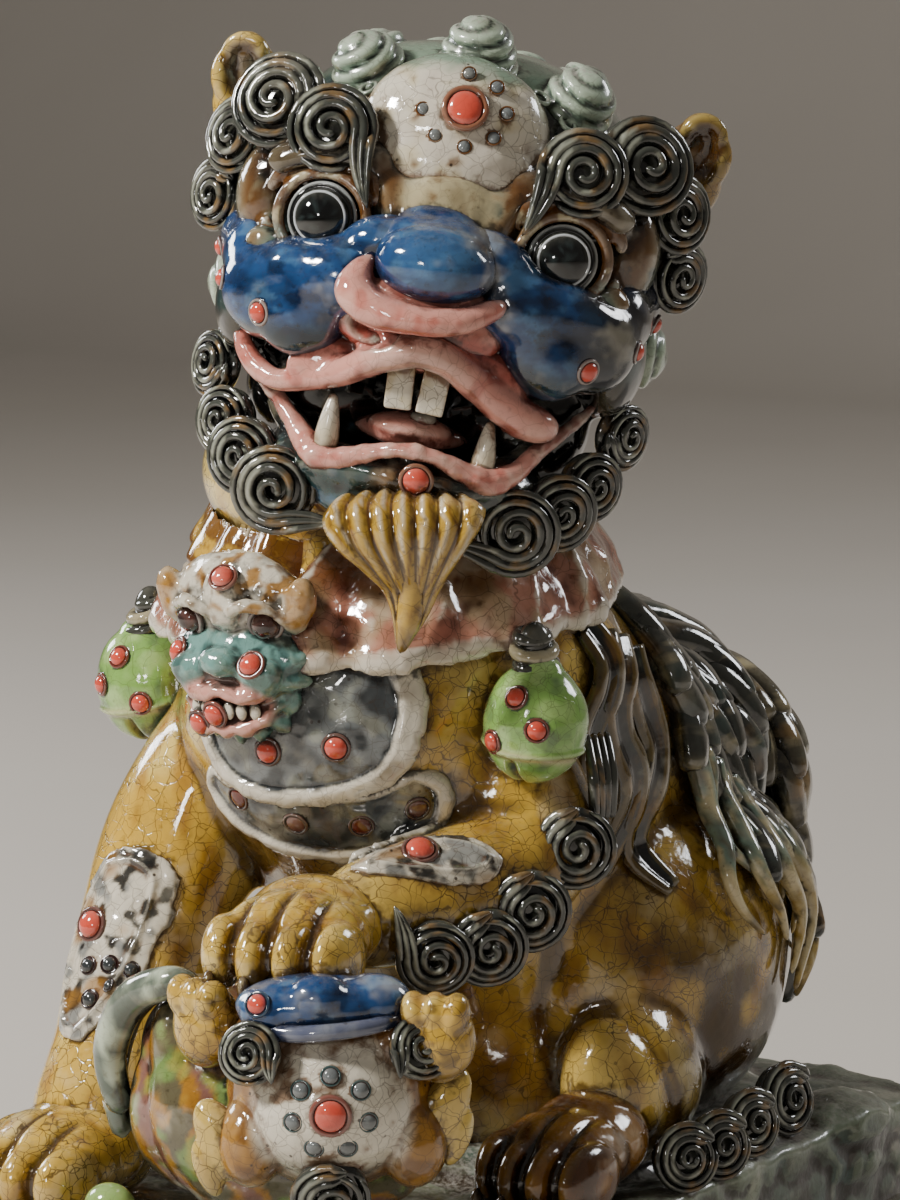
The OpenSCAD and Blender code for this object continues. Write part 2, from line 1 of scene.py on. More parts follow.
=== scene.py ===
"""Glazed pottery guardian lion with its cub: the finished looks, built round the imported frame.

Shapes are worked in millimetres on three benches (body, head, cub) and set down in metres.
"""

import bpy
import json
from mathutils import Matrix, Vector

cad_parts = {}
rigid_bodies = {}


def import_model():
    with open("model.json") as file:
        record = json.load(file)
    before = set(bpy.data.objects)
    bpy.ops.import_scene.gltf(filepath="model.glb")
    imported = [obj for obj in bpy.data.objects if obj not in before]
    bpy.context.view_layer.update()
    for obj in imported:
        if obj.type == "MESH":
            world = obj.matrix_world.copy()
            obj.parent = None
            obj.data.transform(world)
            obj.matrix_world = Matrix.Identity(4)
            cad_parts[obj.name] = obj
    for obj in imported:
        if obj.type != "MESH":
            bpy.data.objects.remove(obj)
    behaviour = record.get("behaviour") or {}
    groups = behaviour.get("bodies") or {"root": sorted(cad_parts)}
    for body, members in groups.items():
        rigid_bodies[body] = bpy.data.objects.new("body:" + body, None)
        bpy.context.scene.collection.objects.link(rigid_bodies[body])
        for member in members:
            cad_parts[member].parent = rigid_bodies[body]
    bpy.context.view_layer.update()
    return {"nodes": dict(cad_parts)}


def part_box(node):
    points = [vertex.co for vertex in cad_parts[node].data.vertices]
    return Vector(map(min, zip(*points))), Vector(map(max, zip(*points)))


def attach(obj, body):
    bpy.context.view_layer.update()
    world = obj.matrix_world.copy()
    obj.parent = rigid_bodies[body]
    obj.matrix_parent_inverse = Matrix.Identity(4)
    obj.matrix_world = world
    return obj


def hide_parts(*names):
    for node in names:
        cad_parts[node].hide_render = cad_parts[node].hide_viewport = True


bl_info = {
    "name": "Guardian lion in crackled glaze",
    "version": (1, 0, 0),
    "blender": (4, 5, 0),
    "location": "3D View > Sidebar > Lion",
    "description": "Models and glazes a hand-built pottery guardian lion",
    "category": "Object",
}

import json
import math
import random

import bpy
import numpy as np
from mathutils import Euler, Matrix, Vector, noise
from mathutils.bvhtree import BVHTree

for leftover in list(bpy.data.objects):
    bpy.data.objects.remove(leftover)
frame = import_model()

MM = 0.001
USUAL_CELL = 0.004
# Where the lamps and the camera look, and the lens, whose focal length is in rows of the frame
LAMP_AIM = (0.006, -0.004, 0.19)
VIEW_AIM = (0.006, -0.004, 0.186)
SENSOR = 36
FRAME_HEIGHT = 1200
FOCAL_LENGTH = 4815
FLOOR_BEND = 0.6
FLOOR_STEPS = 8
WORLD_LIGHT = 0.17

# ---- glaze colours


def paint(code):
    """Linear colour of a #rrggbb paint swatch."""
    parts = [int(code[i:i + 2], 16) / 255 for i in (1, 3, 5)]
    return np.array([c / 12.92 if c <= 0.04045 else ((c + 0.055) / 1.055) ** 2.4 for c in parts])


AMBER = paint("#cba33e")
AMBER_PALE = paint("#e4cb78")
AMBER_DARK = paint("#653c10")
HONEY = paint("#a27224")
UMBER = paint("#3a2010")
COBALT = paint("#1c4272")
COBALT_PALE = paint("#4a76a0")
COBALT_DARK = paint("#0b1f42")
PINK = paint("#dc9a8b")
PINK_DEEP = paint("#b95a4b")
MAROON = paint("#5c2216")
IVORY = paint("#ddd5c2")
CREAM = paint("#c9bb93")
CHARCOAL = paint("#0b0d0e")
SLATE = paint("#3c4848")
ASH = paint("#a3a696")
GREY = paint("#6f7475")
GREY_DARK = paint("#34383a")
RED = paint("#d8513f")
CELADON = paint("#8ba28c")
CELADON_PALE = paint("#b9c9b2")
CELADON_DARK = paint("#3e4f45")
LEAF = paint("#84b058")
LEAF_PALE = paint("#a8ca7c")
TEAL = paint("#2b4c4c")
TEAL_PALE = paint("#6f9a92")
ROCK = paint("#5d6958")
ROCK_PALE = paint("#8a957d")

# ---- benches


def middle(node):
    """Middle of a frame node's box, in metres."""
    low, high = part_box(node)
    return (Vector(low) + Vector(high)) / 2


def head_bench():
    """Matrix from head millimetres to metres: +X to the lion's left, -Y out of the face.

    The eyeballs stand 30 to each side, 45 forward and 17 up, the nose 56 forward and 11 up.
    """
    eye_forward, eye_up, nose_forward, nose_up = 45, 17, 56, 11
    left, right, nose = middle("eye_left"), middle("eye_right"), middle("nose")
    x = (left - right).normalized()
    between = (left + right) / 2
    out = nose - between
    out = (out - x * out.dot(x)).normalized()
    side = x.cross(out)
    a, b = nose_forward - eye_forward, eye_up - nose_up
    reach = math.hypot(a, b)
    y = (side * b - out * a) / reach
    z = (-out * b - side * a) / reach
    origin = between + (y * eye_forward - z * eye_up) * MM
    turn = Matrix((x, y, z)).transposed().to_4x4()
    return Matrix.Translation(origin) @ turn @ Matrix.Scale(MM, 4)


BODY = Matrix.Scale(MM, 4)
HEAD = head_bench()
CUB = Matrix.Translation(middle("cub_head")) @ Matrix.Rotation(math.radians(33), 4, "Z") @ Matrix.Scale(MM,
                                                                                                        4)


def facing(at, out, up=(0, 0, 1)):
    """Matrix of a spot at `at` whose Z looks along `out` and whose Y leans towards `up`."""
    z = Vector(out).normalized()
    x = Vector(up).cross(z).normalized()
    y = z.cross(x)
    return Matrix.Translation(at) @ Matrix((x, y, z)).transposed().to_4x4()


# ---- modelling tools


def select(*objects):
    """Select only these objects and make the first one active."""
    bpy.ops.object.select_all(action="DESELECT")
    for obj in objects:
        obj.select_set(True)
    bpy.context.view_layer.objects.active = objects[0]


def settle(obj, matrix):
    """Put the object at `matrix` and carry that place into its mesh."""
    obj.matrix_world = matrix
    select(obj)
    bpy.ops.object.transform_apply(location=True, rotation=True, scale=True)
    return obj


def ball(bench, at, size, turn=(0, 0, 0)):
    """Egg with half sizes `size`, turned by degrees, at `at` on the bench."""
    bpy.ops.object.select_all(action="DESELECT")
    bpy.ops.mesh.primitive_uv_sphere_add(segments=28, ring_count=18, radius=1)
    spin = Euler([math.radians(a) for a in turn]).to_matrix().to_4x4()
    scale = Matrix.Diagonal((*size, 1))
    return settle(bpy.context.object, bench @ Matrix.Translation(at) @ spin @ scale)


def balls(bench, *eggs):
    """Several eggs on one bench, each (at, size) or (at, size, turn)."""
    return [ball(bench, *egg) for egg in eggs]


def ring(bench, spot, radius, thick):
    """Round ring lying on the spot, facing out of it."""
    bpy.ops.object.select_all(action="DESELECT")
    bpy.ops.mesh.primitive_torus_add(
        major_segments=40, minor_segments=10, major_radius=radius, minor_radius=thick
    )
    return settle(bpy.context.object, bench @ spot)


def smooth_path(points, steps):
    """Smooth curve through the points, with `steps` stretches between neighbours."""
    p = [np.array(q, float) for q in points]
    last = len(p) - 1
    out = []
    for j in range(last * steps + 1):
        i = min(j // steps, last - 1)
        t = j / steps - i
        a, b, c, d = p[max(i - 1, 0)], p[i], p[i + 1], p[min(i + 2, last)]
        out.append(0.5 * (2 * b + (c - a) * t + (2 * a - 5 * b + 4 * c - d) * t ** 2
                          + (3 * b - a - 3 * c + d) * t ** 3))
    return out


def section_curve(outline):
    """Closed flat curve that a strand is drawn through."""
    data = bpy.data.curves.new("section", "CURVE")
    data.dimensions = "2D"
    spline = data.splines.new("POLY")
    spline.points.add(len(outline) - 1)
    for point, (x, y) in zip(spline.points, outline):
        point.co = (x, y, 0, 1)
    spline.use_cyclic_u = True
    obj = bpy.data.objects.new("section", data)
    bpy.context.collection.objects.link(obj)
    return obj


def strands(bench, runs, outline=None, sides=2, flat=False):
    """Rolled coils of clay. Each run is a list of [x, y, z, radius] with round or pointed ends."""
    data = bpy.data.curves.new("strand", "CURVE")
    data.dimensions = "3D"
    data.twist_mode = "Z_UP" if flat else "MINIMUM"
    data.use_fill_caps = True
    section = None
    if outline is None:
        data.bevel_depth = 1
        data.bevel_resolution = sides
    else:
        section = section_curve(outline)
        data.bevel_mode = "OBJECT"
        data.bevel_object = section
    for run in runs:
        spline = data.splines.new("POLY")
        spline.points.add(len(run) - 1)
        for point, (x, y, z, radius) in zip(spline.points, run):
            point.co = (x, y, z, 1)
            point.radius = max(radius, 0.02)
    obj = bpy.data.objects.new("strand", data)
    bpy.context.collection.objects.link(obj)
    select(obj)
    bpy.ops.object.convert(target="MESH")
    obj = bpy.context.object
    if section:
        bpy.data.objects.remove(section)
    tidy(obj, 0.01)
    return settle(obj, bench)


def tidy(obj, gap):
    """Merge doubled points and turn all faces outwards."""
    select(obj)
    bpy.ops.object.mode_set(mode="EDIT")
    bpy.ops.mesh.select_all(action="SELECT")
    bpy.ops.mesh.remove_doubles(threshold=gap)
    bpy.ops.mesh.normals_make_consistent(inside=False)
    bpy.ops.object.mode_set(mode="OBJECT")


def round_ends(run, share=0.12, tip=0.25):
    """The run with its radius drawn in at both ends."""
    count = len(run) - 1
    out = []
    for i, (x, y, z, radius) in enumerate(run):
        edge = min(i, count - i) / (count * share)
        fade = tip + (1 - tip) * math.sqrt(max(0, 1 - (1 - min(edge, 1)) ** 2))
        out.append((x, y, z, radius * fade))
    return out


def rope(points, steps=6, share=0.12, tip=0.25):
    """Smooth run through [x, y, z, radius] points with round ends."""
    return round_ends([tuple(p) for p in smooth_path(points, steps)], share, tip)


def blank(node):
    """Solid mesh copy of a frame node, to be worked further."""
    source = frame["nodes"][node]
    obj = bpy.data.objects.new(node + "_blank", source.data.copy())
    bpy.context.collection.objects.link(obj)
    obj.matrix_world = source.matrix_world
    select(obj)
    bpy.ops.object.transform_apply(location=True, rotation=True, scale=True)
    tidy(obj, 0.00001)
    return obj


def join(parts):
    """One object from several."""
    select(*parts)
    if len(parts) > 1:
        bpy.ops.object.join()
    return bpy.context.object


def fuse(parts, grain=1.2, soften=6, strength=0.5):
    """Work the parts into one skin: remesh at `grain` millimetres, then smooth the joins."""
    obj = join(parts)
    remesh = obj.modifiers.new("knead", "REMESH")
    remesh.mode = "VOXEL"
    remesh.voxel_size = grain * MM
    bpy.ops.object.modifier_apply(modifier=remesh.name)
    if soften:
        rub = obj.modifiers.new("rub", "SMOOTH")
        rub.factor = strength
        rub.iterations = soften
        bpy.ops.object.modifier_apply(modifier=rub.name)
    return obj


def read_points(obj):
    """Points and normals of a mesh, as arrays."""
    mesh = obj.data
    points = np.empty(len(mesh.vertices) * 3)
    normals = np.empty(len(mesh.vertices) * 3)
    mesh.vertices.foreach_get("co", points)
    mesh.vertices.foreach_get("normal", normals)
    return points.reshape(-1, 3), normals.reshape(-1, 3)


def write_points(obj, points):
    obj.data.vertices.foreach_set("co", points.reshape(-1))
    obj.data.update()


def on_bench(bench, points):
    """Points in the bench's millimetres."""
    inverse = np.array(bench.inverted())
    return points @ inverse[:3, :3].T + inverse[:3, 3]


def turn_to_bench(bench, normals):
    """Directions as seen from the bench."""
    turn = np.array(bench.to_3x3()) / bench.to_scale().x
    return normals @ turn


def swell(obj, bench, height):
    """Press the skin in or out: height(points, normals) gives millimetres on the bench."""
    points, normals = read_points(obj)
    lift = height(on_bench(bench, points), turn_to_bench(bench, normals))
    write_points(obj, points + normals * lift[:, None] * MM)


def skin_tree(objects):
    """Search tree over the faces of these objects."""
    points, faces, offset = [], [], 0
    for obj in objects:
        here, _ = read_points(obj)
        points.append(here)
        faces += [tuple(v + offset for v in p.vertices) for p in obj.data.polygons]
        offset += len(here)
    return BVHTree.FromPolygons(np.concatenate(points).tolist(), faces)


def touch(tree, bench, start, along):
    """Where a straight line from `start` meets the skin, and which way the skin faces there."""
    turn = bench.to_3x3().normalized()
    hit, normal, _, _ = tree.ray_cast(bench @ Vector(start), (turn @ Vector(along)).normalized())
    if hit is None:
        raise RuntimeError(f"nothing lies before {tuple(start)}")
    return bench.inverted() @ hit, turn.inverted() @ normal


def plate(tree, bench, outline, thick, far=40, grain=1.3):
    """Flat slab cut to the outline on the bench's X-Y plane and pressed down -Z on the skin."""
    low = [min(p[i] for p in outline) for i in (0, 1)]
    size = [max(p[i] for p in outline) - low[i] for i in (0, 1)]
    bpy.ops.object.select_all(action="DESELECT")
    bpy.ops.mesh.primitive_grid_add(
        x_subdivisions=int(size[0] / grain), y_subdivisions=int(size[1] / grain), size=1,
        location=(low[0] + size[0] / 2, low[1] + size[1] / 2, 0),
    )
    slab = bpy.context.object
    slab.scale = (size[0], size[1], 1)
    bpy.ops.object.transform_apply(location=True, rotation=True, scale=True)
    bpy.ops.object.mode_set(mode="EDIT")
    bpy.ops.mesh.select_mode(type="VERT")
    bpy.ops.mesh.select_all(action="DESELECT")
    bpy.ops.object.mode_set(mode="OBJECT")
    corners = smooth_path([*outline, outline[0]], 6)
    for vertex in slab.data.vertices:
        x, y = vertex.co.x, vertex.co.y
        inside = False
        for (ax, ay), (bx, by) in zip(corners, corners[1:]):
            if (ay > y) != (by > y) and x < (bx - ax) * (y - ay) / (by - ay) + ax:
                inside = not inside
        vertex.select = not inside
        if inside:
            vertex.co = touch(tree, bench, (x, y, far), (0, 0, -1))[0]
    bpy.ops.object.mode_set(mode="EDIT")
    bpy.ops.mesh.delete(type="VERT")
    bpy.ops.mesh.select_all(action="SELECT")
    bpy.ops.mesh.normals_make_consistent(inside=False)
    bpy.ops.object.mode_set(mode="OBJECT")
    wall = slab.modifiers.new("wall", "SOLIDIFY")
    wall.thickness = thick
    wall.offset = 0
    bpy.ops.object.modifier_apply(modifier=wall.name)
    return settle(slab, bench)


def edge_distance(points, outline):
    """Distance of each point from the outline, seen along Z."""
    corners = np.array(smooth_path([*outline, outline[0]], 6))
    here = points[:, None, :2] - corners[None, :-1]
    side = (corners[1:] - corners[:-1])[None]
    share = np.clip((here * side).sum(2) / np.maximum((side * side).sum(2), 1e-9), 0, 1)
    return np.linalg.norm(here - side * share[:, :, None], axis=2).min(1)


def rough(points, size, seed=0.0, depth=2):
    """Soft random field from -1 to 1 with features about `size` millimetres across."""
    return np.array([
        noise.fractal(Vector((p[0] / size + seed, p[1] / size, p[2] / size)), 1.0, 2.0, depth)
        for p in points
    ])


def ramp(value, low, high):
    """0 below `low`, 1 above `high`, smooth between."""
    t = np.clip((value - low) / (high - low), 0, 1)
    return t * t * (3 - 2 * t)


def near(points, at, radius, soft=2.0):
    """Mask of the points within `radius` of `at`."""
    return 1 - ramp(np.linalg.norm(points - np.array(at), axis=1), radius - soft / 2, radius + soft / 2)


def mix(colours, other, mask):
    """Blend towards another colour where the mask is 1."""
    return colours + (np.asarray(other) - colours) * mask[:, None]


def lay_coats(points, ground, coats):
    """Ground colour under further coats, each (colour, mask)."""
    colours = np.tile(ground, (len(points), 1)) if np.ndim(ground) == 1 else ground
    for other, mask in coats:
        colours = mix(colours, other, mask)
    return colours


def tint(obj, bench, colour):
    """Brush the glaze on: colour(points, normals) gives linear colours on the bench."""
    points, normals = read_points(obj)
    rgb = colour(on_bench(bench, points), turn_to_bench(bench, normals))
    rgba = np.ones((len(points), 4))
    rgba[:, :3] = np.clip(rgb, 0.0, 1)
    layer = obj.data.attributes.new("tint", "FLOAT_COLOR", "POINT")
    layer.data.foreach_set("color", rgba.reshape(-1))
    return obj


def flat_tint(colour):
    """Brush that lays one colour all over."""
    return lambda points, normals: np.tile(colour, (len(points), 1))


PIECES = []


def deliver(obj, node, glaze, *, name=None, others=()):
    """Name the piece, glaze it and hand it to the frame in place of its node and any others."""
    obj.name = obj.data.name = name or node + "_glazed"
    obj.data.materials.clear()
    obj.data.materials.append(bpy.data.materials[glaze + "_glaze"])
    select(obj)
    bpy.ops.object.shade_smooth()
    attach(obj, "root")
    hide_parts(node, *others)
    PIECES.append(obj)


# ---- glaze nodes


def group_shell(name, inputs, outputs):
    """Empty node group with named sockets."""
    tree = bpy.data.node_groups.new(name, "ShaderNodeTree")
    for label, kind, value in inputs:
        socket = tree.interface.new_socket(label, in_out="INPUT", socket_type="NodeSocket" + kind)
        if value is not None:
            socket.default_value = value
    for label, kind in outputs:
        tree.interface.new_socket(label, in_out="OUTPUT", socket_type="NodeSocket" + kind)
    return tree, tree.nodes.new("NodeGroupInput"), tree.nodes.new("NodeGroupOutput")


def wire(tree, kind, *links, **settings):
    """Add a node, set its properties and sockets, and link named outputs to it.

    A setting whose name starts with an underscore sets an input socket by number.
    """
    node = tree.nodes.new(kind)
    for key, value in settings.items():
        if key.startswith("_"):
            node.inputs[int(key[1:])].default_value = value
        else:
            setattr(node, key, value)
    for source, target in links:
        tree.links.new(source, node.inputs[target])
    return node


def value_map(tree, source, low, high, to_low=0.0, to_high=1.0):
    """Smooth step from one range to another."""
    node = wire(tree, "ShaderNodeMapRange", (source, 0), interpolation_type="SMOOTHSTEP",
                _1=low, _2=high, _3=to_low, _4=to_high)
    return node.outputs[0]


def multiply(tree, a, b):
    """Product of a socket with a socket or a number."""
    node = wire(tree, "ShaderNodeMath", (a, 0), operation="MULTIPLY")
    if isinstance(b, (int, float)):
        node.inputs[1].default_value = b
    else:
        tree.links.new(b, node.inputs[1])
    return node.outputs[0]


def blend(tree, mask, first, second, mode="MIX"):
    """Colour mix; each colour is a socket or a tuple."""
    node = wire(tree, "ShaderNodeMix", data_type="RGBA", blend_type=mode)
    if isinstance(mask, (int, float)):
        node.inputs[0].default_value = mask
    else:
        tree.links.new(mask, node.inputs[0])
    for socket, colour in ((node.inputs[6], first), (node.inputs[7], second)):
        if isinstance(colour, bpy.types.NodeSocket):
            tree.links.new(colour, socket)
        else:
            socket.default_value = (*colour, 1)
    return node.outputs[2]


def make_run_group():
    """Glaze run: slow drifts of tone and small mottles over the brushed colour."""
    tree, entry, leave = group_shell(
        "Glaze run",
        [("Vector", "Vector", None), ("Colour", "Color", None), ("Strength", "Float", 0.5)],
        [("Colour", "Color")],
    )
    vector = entry.outputs["Vector"]
    slow = wire(tree, "ShaderNodeTexNoise", (vector, 0), _2=55.0, _3=3.0, _4=0.6)
    fine = wire(tree, "ShaderNodeTexNoise", (vector, 0), _2=420.0, _3=3.0, _4=0.65)
    strength = entry.outputs["Strength"]
    dark = blend(tree, 1.0, entry.outputs["Colour"], (0.42, 0.36, 0.30), "MULTIPLY")
    pale = blend(tree, 0.32, entry.outputs["Colour"], (1.0, 0.93, 0.72))
    colour = blend(tree, multiply(tree, value_map(tree, slow.outputs[0], 0.52, 0.72), strength),
                   entry.outputs["Colour"], dark)
    colour = blend(tree, multiply(tree, value_map(tree, fine.outputs[0], 0.56, 0.76), strength), colour,
                   dark)
    colour = blend(tree, multiply(tree, value_map(tree, slow.outputs[0], 0.46, 0.3), strength), colour,
                   pale)
    tree.links.new(colour, leave.inputs[0])


def make_crackle_group():
    """Crackle: a net of hairlines whose cells are a few millimetres across, clear in places."""
    tree, entry, leave = group_shell(
        "Crackle",
        [("Vector", "Vector", None), ("Cells per metre", "Float", 250.0), ("Cover", "Float", 0.5)],
        [("Line", "Float")],
    )
    vector = entry.outputs["Vector"]
    wobble = wire(tree, "ShaderNodeTexNoise", (vector, 0), _2=160.0, _3=2.0)
    small = wire(tree, "ShaderNodeVectorMath", (wobble.outputs[1], 0), operation="SCALE")
    small.inputs[3].default_value = 0.004
    bent = wire(tree, "ShaderNodeVectorMath", (vector, 0), (small.outputs[0], 1), operation="ADD")
    cells = wire(tree, "ShaderNodeTexVoronoi", (bent.outputs[0], 0), feature="DISTANCE_TO_EDGE")
    tree.links.new(entry.outputs["Cells per metre"], cells.inputs[2])
    half = multiply(tree, entry.outputs["Cells per metre"], 0.47)
    wide = wire(tree, "ShaderNodeTexVoronoi", (bent.outputs[0], 0), feature="DISTANCE_TO_EDGE")
    tree.links.new(half, wide.inputs[2])
    hair = value_map(tree, cells.outputs[0], 0.03, 0.006)
    bold = value_map(tree, wide.outputs[0], 0.017, 0.004)
    patch = wire(tree, "ShaderNodeTexNoise", (vector, 0), _2=38.0, _3=2.0)
    clear = wire(tree, "ShaderNodeMath", (patch.outputs[0], 0), operation="ADD")
    tree.links.new(entry.outputs["Cover"], clear.inputs[1])
    shown = value_map(tree, clear.outputs[0], 0.82, 1.12, 0.15, 1.0)
    both = wire(tree, "ShaderNodeMath", (multiply(tree, hair, shown), 0), operation="MAXIMUM")
    tree.links.new(multiply(tree, bold, 0.8), both.inputs[1])
    tree.links.new(both.outputs[0], leave.inputs[0])


def make_pool_and_shade_group():
    """Pooled glaze and painted shade: the colour goes dark in nooks, partly as glaze gathering there and
    partly as painted shade, and breaks pale over raised edges.
    """
    tree, entry, leave = group_shell(
        "Pooled glaze, painted shade and break",
        [("Colour", "Color", None), ("Pool and shade", "Color", None), ("Break", "Color", None),
         ("Pooling and shade", "Float", 0.8), ("Breaking", "Float", 0.4), ("Vector", "Vector", None)],
        [("Colour", "Color")],
    )
    # nook: how shut in each point is; the dark it brings is partly pooled glaze and partly painted shade
    nook = wire(tree, "ShaderNodeAttribute", attribute_name="nook")
    relief = wire(tree, "ShaderNodeAttribute", attribute_name="relief")
    ragged = wire(tree, "ShaderNodeTexNoise", (entry.outputs["Vector"], 0), _2=300.0, _3=3.0)
    loose = wire(tree, "ShaderNodeMath", (nook.outputs["Fac"], 0), (ragged.outputs[0], 1), operation="ADD")
    deep = value_map(tree, loose.outputs[0], 0.6, 0.98)
    edge = value_map(tree, relief.outputs["Fac"], 0.66, 0.95)
    hollow = value_map(tree, relief.outputs["Fac"], 0.45, 0.15)
    # dark in nooks and hollows: partly pooled glaze, partly painted shade
    gathered = wire(tree, "ShaderNodeMath", (deep, 0), (hollow, 1), operation="MAXIMUM")
    colour = blend(tree, multiply(tree, edge, entry.outputs["Breaking"]),
                   entry.outputs["Colour"], entry.outputs["Break"])
    colour = blend(tree, multiply(tree, gathered.outputs[0], entry.outputs["Pooling and shade"]), colour,
                   entry.outputs["Pool and shade"])
    tree.links.new(colour, leave.inputs[0])


def make_speck_group():
    """Specks: iron spots and pinholes burnt through the glaze."""
    tree, entry, leave = group_shell(
        "Specks",
        [("Vector", "Vector", None), ("Amount", "Float", 0.5)],
        [("Speck", "Float")],
    )
    dots = wire(tree, "ShaderNodeTexVoronoi", (entry.outputs["Vector"], 0), feature="F1", _2=330.0)
    choose = wire(tree, "ShaderNodeTexNoise", (entry.outputs["Vector"], 0), _2=130.0, _3=2.0)
    spot = value_map(tree, dots.outputs[0], 0.2, 0.1)
    rare = value_map(tree, choose.outputs[0], 0.56, 0.64)
    both = multiply(tree, multiply(tree, spot, rare), entry.outputs["Amount"])
    tree.links.new(both, leave.inputs[0])


def make_dust_group():
    """Dust: dry grey film that settles on upward faces."""
    tree, entry, leave = group_shell(
        "Dust",
        [("Vector", "Vector", None), ("Amount", "Float", 0.3)],
        [("Film", "Float")],
    )
    normal = wire(tree, "ShaderNodeNewGeometry")
    split = wire(tree, "ShaderNodeSeparateXYZ", (normal.outputs["Normal"], 0))
    up = value_map(tree, split.outputs[2], 0.35, 0.95)
    grain = wire(tree, "ShaderNodeTexNoise", (entry.outputs["Vector"], 0), _2=700.0, _3=4.0, _4=0.7)
    settled = multiply(tree, up, value_map(tree, grain.outputs[0], 0.35, 0.7))
    tree.links.new(multiply(tree, settled, entry.outputs["Amount"]), leave.inputs[0])


def place_group(tree, name, links, values):
    """Use a shared group in a material."""
    node = wire(tree, "ShaderNodeGroup", node_tree=bpy.data.node_groups[name])
    for label, source in links.items():
        tree.links.new(source, node.inputs[label])
    for label, value in values.items():
        node.inputs[label].default_value = value
    return node


def make_glaze(name, pool_and_shade, edge, pooling_and_shade=0.8, breaking=0.4, run=0.6, cells=250.0, cover=0.5,
               crack=0.75, specks=0.5, dust=0.15, roughness=0.1, coat=1.0, rippling=0.25):
    """Material of one glaze over brushed colours."""
    settings = bpy.context.scene.lion_glaze
    cells *= USUAL_CELL / settings.crack_size
    crack *= settings.crack_depth
    dust *= settings.dust
    material = bpy.data.materials.new(name)
    material.use_nodes = True
    tree = material.node_tree
    tree.nodes.clear()
    coordinates = wire(tree, "ShaderNodeTexCoord").outputs["Object"]
    brushed = wire(tree, "ShaderNodeAttribute", attribute_name="tint").outputs["Color"]
    runs = place_group(tree, "Glaze run", {"Vector": coordinates, "Colour": brushed}, {"Strength": run})
    # dark in the nooks as pooled glaze and painted shade, pale over the edges where the glaze breaks
    pools_and_shade = place_group(
        tree, "Pooled glaze, painted shade and break", {"Colour": runs.outputs["Colour"], "Vector": coordinates},
        {"Pool and shade": (*pool_and_shade, 1), "Break": (*edge, 1), "Pooling and shade": pooling_and_shade, "Breaking": breaking},
    )
    crackle = place_group(tree, "Crackle", {"Vector": coordinates},
                          {"Cells per metre": cells, "Cover": cover})
    speck = place_group(tree, "Specks", {"Vector": coordinates}, {"Amount": specks})
    film = place_group(tree, "Dust", {"Vector": coordinates}, {"Amount": dust})
    line = multiply(tree, crackle.outputs["Line"], crack)
    colour = blend(tree, line, pools_and_shade.outputs["Colour"], (0.045, 0.022, 0.01))
    colour = blend(tree, speck.outputs["Speck"], colour, (0.03, 0.016, 0.01))
    colour = blend(tree, film.outputs["Film"], colour, (0.33, 0.31, 0.27))
    shader = wire(tree, "ShaderNodeBsdfPrincipled")
    tree.links.new(colour, shader.inputs["Base Color"])
    dry = wire(tree, "ShaderNodeMapRange", (film.outputs["Film"], 0), _1=0.0, _2=0.6, _3=roughness, _4=0.75)
    tree.links.new(dry.outputs[0], shader.inputs["Roughness"])
    wet = wire(tree, "ShaderNodeMapRange", (film.outputs["Film"], 0), _1=0.0, _2=0.5, _3=coat, _4=0.0)
    tree.links.new(wet.outputs[0], shader.inputs["Coat Weight"])
    shader.inputs["Coat Roughness"].default_value = 0.04
    shader.inputs["Specular IOR Level"].default_value = 0.55
    skin = wire(tree, "ShaderNodeTexNoise", (coordinates, 0), _2=210.0, _3=2.0)
    cut = wire(tree, "ShaderNodeMath", (skin.outputs[0], 0), operation="SUBTRACT")
    tree.links.new(multiply(tree, line, 0.12), cut.inputs[1])
    bump = wire(tree, "ShaderNodeBump", (cut.outputs[0], "Height"))
    bump.inputs["Strength"].default_value = rippling
    bump.inputs["Distance"].default_value = 0.0012
    tree.links.new(bump.outputs[0], shader.inputs["Normal"])
    tree.links.new(shader.outputs[0], wire(tree, "ShaderNodeOutputMaterial").inputs[0])
    return material


